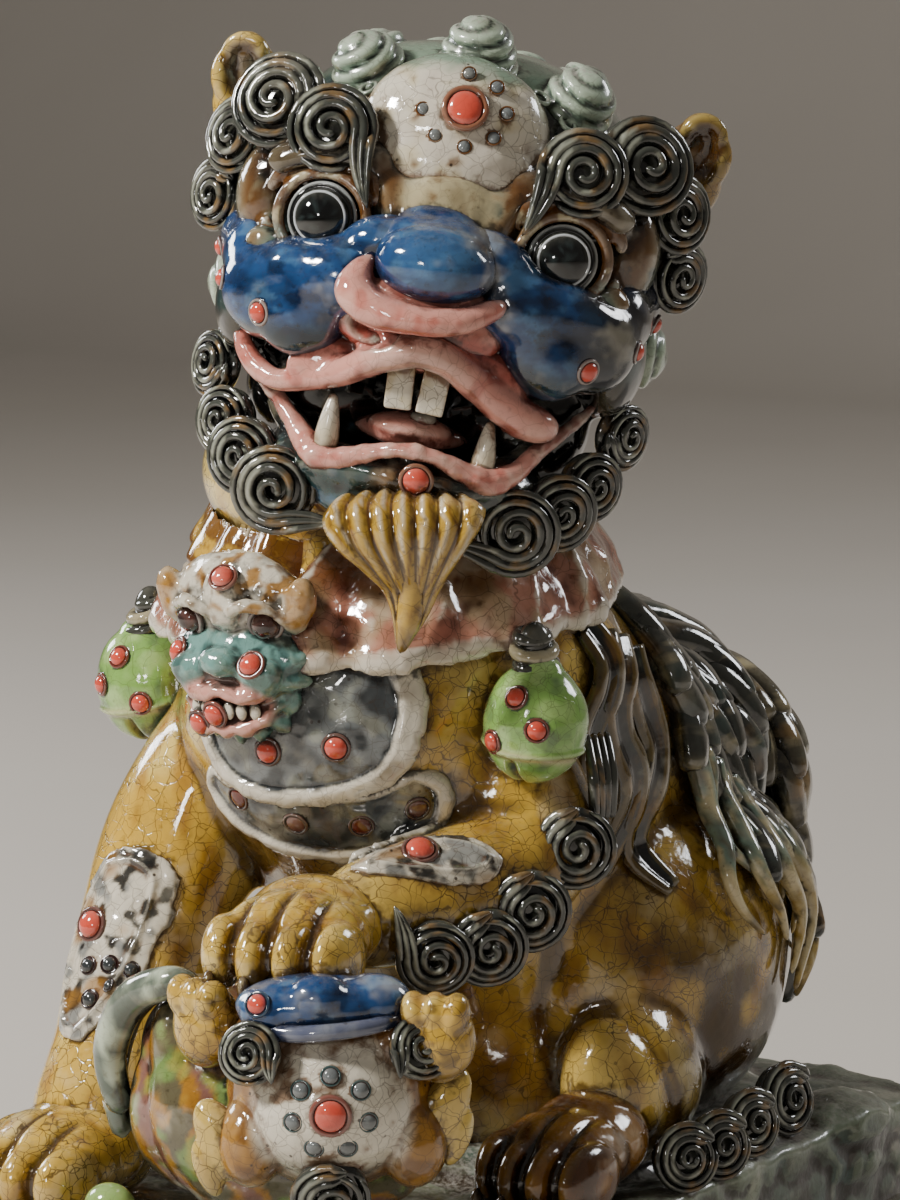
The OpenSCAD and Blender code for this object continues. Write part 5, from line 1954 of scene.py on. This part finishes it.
def build_fins():
    """Fluttering dark cloth ends that lie behind each shoulder."""
    tree = skin_tree([bpy.data.objects["amber_trunk"]])
    runs = []
    for s in (-1, 1):
        for i in range(3):
            y, top, foot = -13 + i * 12, 184 - i * 4, 120 - i * 5
            run = []
            for j in range(8):
                share = j / 7
                here = Vector((s * 130, y + 3.5 * math.sin(share * 9 + i * 2) + 3 * share,
                               top + (foot - top) * share))
                at, out = touch(tree, BODY, here, (-s, 0, 0))
                wide = (5.5, 7.0, 7.8, 7.2, 8.2, 7.6, 6.4, 3.6)[j]
                run.append((*(at + Vector((s, 0, 0)) * (1.2 + 1.0 * math.sin(share * 11 + i))), wide))
            runs.append([tuple(p) for p in smooth_path(run, 5)])
    outline = [(1.0, 0.05), (0.8, 0.3), (0.5, 0.36), (0.2, 0.16), (-0.1, 0.12), (-0.4, 0.34), (-0.7, 0.34),
               (-1.0, 0.05), (-0.8, -0.12), (0, -0.16), (0.8, -0.12)]
    turned = Matrix(((0, 0, 1, 0), (1, 0, 0, 0), (0, 1, 0, 0), (0, 0, 0, 1)))
    fins = strands(BODY @ turned, [[(y, z, x, r) for x, y, z, r in run] for run in runs], outline,
                   flat=True)

    def colour(points, normals):
        drift = rough(points, 8, 2.0)
        return lay_coats(points, CHARCOAL, [
            (CELADON_DARK * 0.6, ramp(drift, 0.0, 0.4) * 0.6),
            (HONEY * 0.6, ramp(-drift, 0.25, 0.6) * 0.5),
        ])
    tint(fins, BODY, colour)
    deliver(fins, "shoulder_fins", "umber")


# ---- cub


def build_cub_body():
    """Cub's body on its back, striped and strapped."""
    parts = [blank("cub_body"), ball(BODY, (4, -114, 84), (16, 16, 18)),
             ball(BODY, (30, -104, 92), (20, 18, 14))]
    body = fuse(parts, 1.2, 8)

    def ribs(points, normals):
        return 1.3 * np.abs(np.sin(points[:, 0] / 4.2 + points[:, 2] * 0.05)) * ramp(-points[:, 0], -10, 0)
    swell(body, BODY, ribs)

    def colour(points, normals):
        drift = rough(points, 9, 2.0)
        band = np.sin(points[:, 0] / 3.6 + points[:, 2] * 0.08 + drift * 2)
        return lay_coats(points, HONEY, [
            (CELADON_DARK, ramp(band, 0.0, 0.5) * 0.8),
            (paint("#6d4a58"), ramp(-band, 0.4, 0.9) * 0.7),
            (LEAF, ramp(drift, 0.2, 0.5) * 0.5),
            (UMBER, ramp(-points[:, 2], -52, -38) * 0.8),
        ])
    tint(body, BODY, colour)
    straps = strands(BODY, [
        rope([(-16, -124, 66, 3.6), (-18, -126, 82, 4.4), (-10, -128, 97, 4.8), (4, -130, 104, 4.2),
              (12, -128, 104, 2)]),
        rope([(-20, -118, 58, 3), (-23, -118, 74, 3.6), (-18, -118, 90, 3.6), (-8, -116, 99, 2.4)]),
    ], sides=4)
    tint(straps, BODY, lambda points, normals: mix(np.tile(TEAL, (len(points), 1)), CELADON_PALE,
                                                   ramp(rough(points, 6, 1.0), 0.0, 0.4)))
    lump = ball(BODY, (-14, -132, 44), (7, 6, 6))
    tint(lump, BODY, flat_tint(LEAF))
    deliver(join([body, straps, lump]), "cub_body", "teal")


def build_cub_head():
    """Cub's head upside down: white forehead to the front."""
    head = fuse(balls(
        CUB,
        ((0, 0, 0), (27, 25, 26)),
        ((0, -11, -2), (21, 17, 19)),
        ((-16, -10, 14), (9, 9, 8)),
        ((16, -10, 14), (9, 9, 8)),
        ((-20, -8, -12), (9, 12, 12)),
        ((20, -8, -12), (9, 12, 12)),
    ), 0.9, 6)

    def colour(points, normals):
        drift = rough(points, 8, 2.0, 3)
        dome = near(points * np.array([1, 1, 0.95]), (0, -24, -2), 21, 4)
        crown = ramp(points[:, 2] + 3 * drift, 14, 18)
        return lay_coats(points, HONEY, [
            (AMBER_DARK, ramp(drift, 0.0, 0.4) * 0.7),
            (IVORY, dome),
            (AMBER_DARK, dome * ramp(drift, 0.22, 0.5) * 0.8),
            (AMBER_DARK, crown * 0.7),
        ])
    tint(head, CUB, colour)
    deliver(head, "cub_head", "ivory")


def build_cub_face():
    """Blue muzzle with a rolled dark lip and a red stud, pointing up."""
    face = fuse(balls(
        CUB,
        ((-4, -12, 23), (20, 11, 8)),
        ((-14, -14, 22), (9, 8, 7)),
        ((10, -12, 24), (10, 8, 7)),
        ((-3, -17, 26), (8, 7, 6)),
    ), 0.7, 4)

    def colour(points, normals):
        base = cobalt_colour(points + 40, normals)
        low = ramp(-points[:, 2], -20, -16)
        return mix(base, AMBER_DARK, low * 0.8)
    tint(face, CUB, colour)
    lip = strands(CUB, [rope([(-22, -12, 19, 1.5), (-12, -21, 18, 2.2), (0, -24, 19, 2.2), (12, -20, 20, 2),
                              (20, -12, 21, 1.4)])], sides=3)
    tint(lip, CUB, flat_tint(AMBER_DARK))
    red = stud(CUB, (-18, -20, 25), (-0.5, -1, 0.4), 3.2, RED, CHARCOAL, 0.6)
    deliver(join([face, lip] + red), "cub_muzzle", "cobalt")


def build_cub_trim():
    """Cub's ears, curls, paws and beads."""
    ears = []
    for side in (-1, 1):
        ears += [
            ball(CUB, (side * 27, -9, side * 4 - 8), (6, 5, 12), (0, side * 28, 0)),
            ball(CUB, (side * 31, -9, side * 4 - 15), (3.5, 3.5, 8), (0, side * 20, 0)),
        ]
    ears = fuse(ears, 0.7, 14)
    tint(ears, CUB, lambda points, normals: mix(amber_colour(points + 80, normals), AMBER_PALE,
                                                np.full(len(points), 0.4)))
    deliver(ears, "cub_ears", "amber")

    curls = [
        curl(CUB, (-20, -22, 13), (-0.4, -1, 0.3), 8.5, 0, 1, 0.8),
        curl(CUB, (22, -20, 14), (0.5, -1, 0.4), 8.5, 0, -1, 0.8),
        curl(CUB, (0, -22, -23), (0, -1, -0.4), 10.5, 90, 1, 0.4),
    ]
    deliver(join(curls), "cub_curls", "charcoal")

    paws = []
    for at, lean in (((17, -132, 94), -10), ((74, -114, 94), 20)):
        spot = BODY @ Matrix.Translation(at) @ Matrix.Rotation(math.radians(lean), 4, "Z")
        palm = [ball(spot, (0, 0, 1), (9.5, 8, 11))]
        palm += [ball(spot, (dx, -3, 8), (3.8, 5, 6), (14, dx * 2, 0)) for dx in (-5, 0, 5)]
        paw = fuse(palm, 0.6, 12)
        tint(paw, BODY, lambda points, normals: mix(amber_colour(points + 30, normals), UMBER,
                                                    ramp(rough(points, 5, 1.0), 0.2, 0.5) * 0.6))
        paws.append(paw)
    deliver(join(paws), "cub_paws", "amber")

    beads = stud(CUB, (0, -28, -1), (0, -1, 0), 5.0, RED, MAROON, 0.4)
    for i in range(7):
        angle = math.radians(90 + i * 360 / 7)
        x, z = 9.4 * math.cos(angle), 9.4 * math.sin(angle)
        beads += stud(CUB, (x, -27 + 0.014 * (x * x + z * z) , z - 1), (x / 30, -1, z / 30), 2.5, GREY,
                      TEAL, 0.5)
    deliver(join(beads), "cub_beads", "red")


# ---- how the glaze lies, and the painted shade in the nooks


def mark_relief(obj):
    """Store how far each point stands out of the skin round it (0.5 is level)."""
    mesh = obj.data
    points, normals = read_points(obj)
    edges = np.empty(len(mesh.edges) * 2, dtype=np.int64)
    mesh.edges.foreach_get("vertices", edges)
    a, b = edges[0::2], edges[1::2]
    degree = np.maximum(np.bincount(a, minlength=len(points)) + np.bincount(b, minlength=len(points)), 1)
    soft = points.copy()
    for _ in range(6):
        total = np.zeros_like(soft)
        for axis in range(3):
            total[:, axis] = (np.bincount(a, soft[b, axis], len(points))
                              + np.bincount(b, soft[a, axis], len(points)))
        soft = total / degree[:, None]
    stand = np.einsum("ij,ij->i", points - soft, normals) / MM
    value = np.clip(0.5 + stand * 1.1, 0, 1)
    layer = mesh.attributes.new("relief", "FLOAT", "POINT")
    layer.data.foreach_set("value", value)


def mark_nooks(pieces, reach, rays):
    """Store how shut in each point is by what stands close to it, which the glazes show as pooled glaze and
    painted shade.
    """
    tree = skin_tree(pieces)
    spread = []
    for i in range(rays):
        height = 0.25 + 0.7 * (i + 0.5) / rays
        angle = 2.4 * i
        flat = math.sqrt(1 - height * height)
        spread.append((flat * math.cos(angle), flat * math.sin(angle), height))
    for obj in pieces:
        points, normals = read_points(obj)
        shut = np.zeros(len(points))
        for i, (point, normal) in enumerate(zip(points, normals)):
            n = Vector(normal)
            if n.length < 0.5:
                continue
            side = n.orthogonal().normalized()
            other = n.cross(side)
            start = Vector(point) + n * 0.0003
            hits = 0.0
            for x, y, z in spread:
                found = tree.ray_cast(start, side * x + other * y + n * z, reach)
                if found[3] is not None:
                    hits += 1 - 0.5 * found[3] / reach
            shut[i] = hits / rays
        layer = obj.data.attributes.new("nook", "FLOAT", "POINT")
        layer.data.foreach_set("value", shut)


# ---- stage


def build_stage():
    """Pale floor and backdrop, soft lights and the camera."""
    bpy.ops.object.select_all(action="DESELECT")
    bpy.ops.mesh.primitive_plane_add(size=14, location=(0, -4.8, 0))
    floor = bpy.context.object
    floor.name = "floor"
    bpy.ops.object.transform_apply(location=True)
    bpy.ops.object.mode_set(mode="EDIT")
    bpy.ops.mesh.select_all(action="DESELECT")
    bpy.ops.object.mode_set(mode="OBJECT")
    for edge in floor.data.edges:
        edge.select = all(floor.data.vertices[v].co.y > 2 for v in edge.vertices)
    bpy.ops.object.mode_set(mode="EDIT")
    bpy.ops.mesh.select_mode(type="EDGE")
    for rise in range(1, FLOOR_STEPS + 1):
        angle = math.radians(90 * rise / FLOOR_STEPS)
        last = math.radians(90 * (rise - 1) / FLOOR_STEPS)
        move = (0, FLOOR_BEND * (math.sin(angle) - math.sin(last)),
                FLOOR_BEND * (math.cos(last) - math.cos(angle)))
        bpy.ops.mesh.extrude_region_move(TRANSFORM_OT_translate={"value": move})
    bpy.ops.mesh.extrude_region_move(TRANSFORM_OT_translate={"value": (0, 0, 3)})
    bpy.ops.mesh.select_all(action="SELECT")
    bpy.ops.mesh.normals_make_consistent(inside=True)
    bpy.ops.object.mode_set(mode="OBJECT")
    bpy.ops.object.shade_smooth()
    material = bpy.data.materials.new("pale_floor")
    material.use_nodes = True
    tree = material.node_tree
    shader = tree.nodes["Principled BSDF"]
    shader.inputs["Roughness"].default_value = 0.7
    place = wire(tree, "ShaderNodeTexCoord").outputs["Object"]
    cloud = wire(tree, "ShaderNodeTexNoise", (place, 0), _2=3.0, _3=3.0)
    tree.links.new(blend(tree, cloud.outputs[0], (0.52, 0.48, 0.43), (0.58, 0.54, 0.49)),
                   shader.inputs["Base Color"])
    floor.data.materials.append(material)

    world = bpy.data.worlds.new("studio")
    bpy.context.scene.world = world
    world.use_nodes = True
    world.node_tree.nodes["Background"].inputs[0].default_value = (0.62, 0.58, 0.53, 1)
    world.node_tree.nodes["Background"].inputs[1].default_value = WORLD_LIGHT

    aim = Vector(LAMP_AIM)
    settings = bpy.context.scene.lion_stage
    for name, place, power, size, colour in (
        ("key", (-0.75, -1.15, 1.25), settings.key_power, 0.24, (1.0, 0.97, 0.92)),
        ("front", (0.35, -1.8, 0.6), 3.4, 0.16, (1.0, 0.98, 0.95)),
        ("side", (-1.4, 0.1, 0.7), 9, 0.4, (0.95, 0.97, 1.0)),
        ("back", (0.9, 1.3, 1.1), 11, 0.5, (0.95, 0.97, 1.0)),
    ):
        light = bpy.data.lights.new(name, "AREA")
        light.energy = power
        light.size = size
        light.color = colour
        obj = bpy.data.objects.new(name, light)
        bpy.context.collection.objects.link(obj)
        obj.location = place
        obj.rotation_euler = (aim - Vector(place)).to_track_quat("-Z", "Y").to_euler()

    turn, rise, far = settings.view_turn, settings.view_rise, settings.view_distance
    camera = bpy.data.objects.new("camera", bpy.data.cameras.new("camera"))
    bpy.context.collection.objects.link(camera)
    out = Vector((math.sin(turn) * math.cos(rise), -math.cos(turn) * math.cos(rise), math.sin(rise)))
    camera.location = Vector(VIEW_AIM) + out * far
    camera.rotation_euler = (-out).to_track_quat("-Z", "Y").to_euler()
    camera.data.sensor_width = SENSOR
    camera.data.lens = FOCAL_LENGTH / FRAME_HEIGHT * SENSOR
    camera.data.clip_start = 0.05
    bpy.context.scene.camera = camera


# ---- add-on


class LION_PG_glaze(bpy.types.PropertyGroup):
    """Glaze settings."""

    crack_size: bpy.props.FloatProperty(
        name="Crackle size", description="Width of one crackle cell", default=USUAL_CELL, min=0.001,
        unit="LENGTH")
    crack_depth: bpy.props.FloatProperty(
        name="Crackle darkness", description="How dark the crackle lines are", default=1, min=0, max=1,
        subtype="FACTOR")
    dust: bpy.props.FloatProperty(
        name="Dust", description="Share of the usual dust on upward faces", default=1, min=0, max=1,
        subtype="FACTOR")
    amber: bpy.props.FloatVectorProperty(
        name="Amber", description="Main body glaze",
        subtype="COLOR", size=3, default=tuple(AMBER), min=0, max=1)
    cobalt: bpy.props.FloatVectorProperty(
        name="Cobalt", description="Glaze of cheeks and nose",
        subtype="COLOR", size=3, default=tuple(COBALT), min=0, max=1)
    pink: bpy.props.FloatVectorProperty(
        name="Pink", description="Glaze of lips and nostrils",
        subtype="COLOR", size=3, default=tuple(PINK), min=0, max=1)
    celadon: bpy.props.FloatVectorProperty(
        name="Celadon", description="Glaze of the crown knots",
        subtype="COLOR", size=3, default=tuple(CELADON), min=0, max=1)
    # The nooks go dark as pooled glaze and as painted shade.
    nook_reach: bpy.props.FloatProperty(
        name="Nook reach", description="How near a neighbour must be for glaze to gather", default=0.006,
        min=0.001, unit="LENGTH")
    nook_rays: bpy.props.IntProperty(
        name="Nook samples", description="Directions felt round each point", default=5, min=3, max=16)


class LION_PG_stage(bpy.types.PropertyGroup):
    """Where the camera stands and how bright the lights are."""

    view_turn: bpy.props.FloatProperty(
        name="Turn", description="Angle of the view towards the lion's left", default=math.radians(33),
        subtype="ANGLE")
    view_rise: bpy.props.FloatProperty(
        name="Rise", description="Angle of the view above the level", default=math.radians(8),
        subtype="ANGLE")
    view_distance: bpy.props.FloatProperty(
        name="Distance", description="Distance of the camera", default=1.3, min=0.6, unit="LENGTH")
    key_power: bpy.props.FloatProperty(
        name="Key light", description="Power of the key light", default=44.0, min=0, unit="POWER")


class LION_OT_glazes(bpy.types.Operator):
    """Mix every glaze."""

    bl_idname = "lion.glazes"
    bl_label = "Glazes"

    def execute(self, context):
        settings = context.scene.lion_glaze
        for colour, chosen in ((AMBER, settings.amber), (COBALT, settings.cobalt), (PINK, settings.pink),
                               (CELADON, settings.celadon)):
            colour[:] = chosen
        make_all_glazes()
        return {"FINISHED"}


class LION_OT_trunk(bpy.types.Operator):
    """Shape and glaze the body, neck, thighs and forelegs."""

    bl_idname = "lion.trunk"
    bl_label = "Trunk"

    def execute(self, context):
        build_trunk()
        return {"FINISHED"}


class LION_OT_paws(bpy.types.Operator):
    """Shape the four paws."""

    bl_idname = "lion.paws"
    bl_label = "Paws"

    def execute(self, context):
        build_paws()
        return {"FINISHED"}


class LION_OT_plinth(bpy.types.Operator):
    """Pile up the rock-work base."""

    bl_idname = "lion.plinth"
    bl_label = "Plinth"

    def execute(self, context):
        build_plinth()
        return {"FINISHED"}


class LION_OT_skull(bpy.types.Operator):
    """Shape the cranium and the lower jaw."""

    bl_idname = "lion.skull"
    bl_label = "Skull and jaw"

    def execute(self, context):
        build_skull()
        build_jaw()
        return {"FINISHED"}


class LION_OT_muzzle(bpy.types.Operator):
    """Model the cheeks, nose, nostril rims and lips."""

    bl_idname = "lion.muzzle"
    bl_label = "Muzzle"

    def execute(self, context):
        build_cheeks()
        build_nose()
        build_nostrils()
        build_lips()
        return {"FINISHED"}


class LION_OT_mouth(bpy.types.Operator):
    """Set the teeth and the tongue."""

    bl_idname = "lion.mouth"
    bl_label = "Mouth"

    def execute(self, context):
        build_teeth()
        build_tongue()
        return {"FINISHED"}


class LION_OT_eyes(bpy.types.Operator):
    """Set both eyes in their lids."""

    bl_idname = "lion.eyes"
    bl_label = "Eyes"

    def execute(self, context):
        build_eye(1, "eye_left")
        build_eye(-1, "eye_right")
        build_eyelids()
        return {"FINISHED"}


class LION_OT_ears(bpy.types.Operator):
    """Model both ears."""

    bl_idname = "lion.ears"
    bl_label = "Ears"

    def execute(self, context):
        build_ear(1, "ear_left")
        build_ear(-1, "ear_right")
        return {"FINISHED"}


class LION_OT_forehead(bpy.types.Operator):
    """Model the forehead boss with its stud and beads."""

    bl_idname = "lion.forehead"
    bl_label = "Forehead"

    def execute(self, context):
        build_forehead()
        return {"FINISHED"}


class LION_OT_crown(bpy.types.Operator):
    """Coil the buns over the head."""

    bl_idname = "lion.crown"
    bl_label = "Crown"

    def execute(self, context):
        build_crown()
        return {"FINISHED"}


class LION_OT_face_curls(bpy.types.Operator):
    """Roll the curls over the eyes and along the jaw."""

    bl_idname = "lion.face_curls"
    bl_label = "Face curls"

    def execute(self, context):
        build_brow_curls(1, "brow_curls_left")
        build_brow_curls(-1, "brow_curls_right")
        build_jaw_curls(1, "jaw_curls_left")
        build_jaw_curls(-1, "jaw_curls_right")
        return {"FINISHED"}


class LION_OT_beard(bpy.types.Operator):
    """Model the goatee and the face studs."""

    bl_idname = "lion.beard"
    bl_label = "Beard and studs"

    def execute(self, context):
        build_goatee()
        build_face_studs()
        return {"FINISHED"}


class LION_OT_collar(bpy.types.Operator):
    """Fold the collar."""

    bl_idname = "lion.collar"
    bl_label = "Collar"

    def execute(self, context):
        build_collar()
        return {"FINISHED"}


class LION_OT_breast(bpy.types.Operator):
    """Model the mask and the two bib plates."""

    bl_idname = "lion.breast"
    bl_label = "Breast ornaments"

    def execute(self, context):
        build_mask()
        build_bib("bib_upper", UPPER_BIB, 2.6, GREY)
        build_bib("bib_lower", LOWER_BIB, 1.2, GREY * 0.7)
        return {"FINISHED"}


class LION_OT_bells(bpy.types.Operator):
    """Model both bells, the cords above them and the studs on the breast."""

    bl_idname = "lion.bells"
    bl_label = "Bells"

    def execute(self, context):
        build_bell("bell_left", 1)
        build_bell("bell_right", -1)
        build_bell_knots()
        build_chest_studs()
        return {"FINISHED"}


class LION_OT_legs(bpy.types.Operator):
    """Lay the patches, studs and curls on the legs."""

    bl_idname = "lion.legs"
    bl_label = "Leg ornaments"

    def execute(self, context):
        build_leg_patches()
        build_leg_curls()
        build_haunch_curls()
        return {"FINISHED"}


class LION_OT_mane(bpy.types.Operator):
    """Lay the locks, tail, wisps and cloth ends."""

    bl_idname = "lion.mane"
    bl_label = "Mane and tail"

    def execute(self, context):
        build_mane()
        build_tail()
        build_wisps()
        build_fins()
        return {"FINISHED"}


class LION_OT_cub(bpy.types.Operator):
    """Model the cub under the raised paw."""

    bl_idname = "lion.cub"
    bl_label = "Cub"

    def execute(self, context):
        build_cub_body()
        build_cub_head()
        build_cub_face()
        build_cub_trim()
        return {"FINISHED"}


class LION_OT_firing(bpy.types.Operator):
    """Let the glaze gather in the nooks, with painted shade there, and break over the edges."""

    bl_idname = "lion.firing"
    bl_label = "Firing"

    def execute(self, context):
        if not PIECES:
            raise RuntimeError("there are no pieces to fire")
        settings = context.scene.lion_glaze
        for piece in PIECES:
            mark_relief(piece)
        mark_nooks(PIECES, settings.nook_reach, settings.nook_rays)
        return {"FINISHED"}


class LION_OT_stage(bpy.types.Operator):
    """Set up the floor, lights and camera."""

    bl_idname = "lion.stage"
    bl_label = "Stage"

    def execute(self, context):
        build_stage()
        return {"FINISHED"}


class LION_PT_panel(bpy.types.Panel):
    """Sidebar panel that lists every step of the build."""

    bl_idname = "LION_PT_panel"
    bl_label = "Guardian lion"
    bl_space_type = "VIEW_3D"
    bl_region_type = "UI"
    bl_category = "Lion"

    def draw(self, context):
        for settings in (context.scene.lion_glaze, context.scene.lion_stage):
            for key in settings.bl_rna.properties.keys():
                if key not in ("rna_type", "name"):
                    self.layout.prop(settings, key)
        for operator in STEPS:
            self.layout.operator(operator.bl_idname)


STEPS = (
    LION_OT_glazes,
    LION_OT_trunk,
    LION_OT_paws,
    LION_OT_plinth,
    LION_OT_skull,
    LION_OT_muzzle,
    LION_OT_mouth,
    LION_OT_eyes,
    LION_OT_ears,
    LION_OT_forehead,
    LION_OT_crown,
    LION_OT_face_curls,
    LION_OT_beard,
    LION_OT_collar,
    LION_OT_breast,
    LION_OT_bells,
    LION_OT_legs,
    LION_OT_mane,
    LION_OT_cub,
    LION_OT_firing,
    LION_OT_stage,
)
CLASSES = (LION_PG_glaze, LION_PG_stage, *STEPS, LION_PT_panel)


def register():
    for item in CLASSES:
        bpy.utils.register_class(item)
    bpy.types.Scene.lion_glaze = bpy.props.PointerProperty(type=LION_PG_glaze)
    bpy.types.Scene.lion_stage = bpy.props.PointerProperty(type=LION_PG_stage)


def unregister():
    del bpy.types.Scene.lion_stage
    del bpy.types.Scene.lion_glaze
    for item in reversed(CLASSES):
        bpy.utils.unregister_class(item)


def main():
    register()
    for operator in STEPS:
        getattr(bpy.ops.lion, operator.bl_idname.split(".")[1])()


if __name__ == "__main__":
    main()
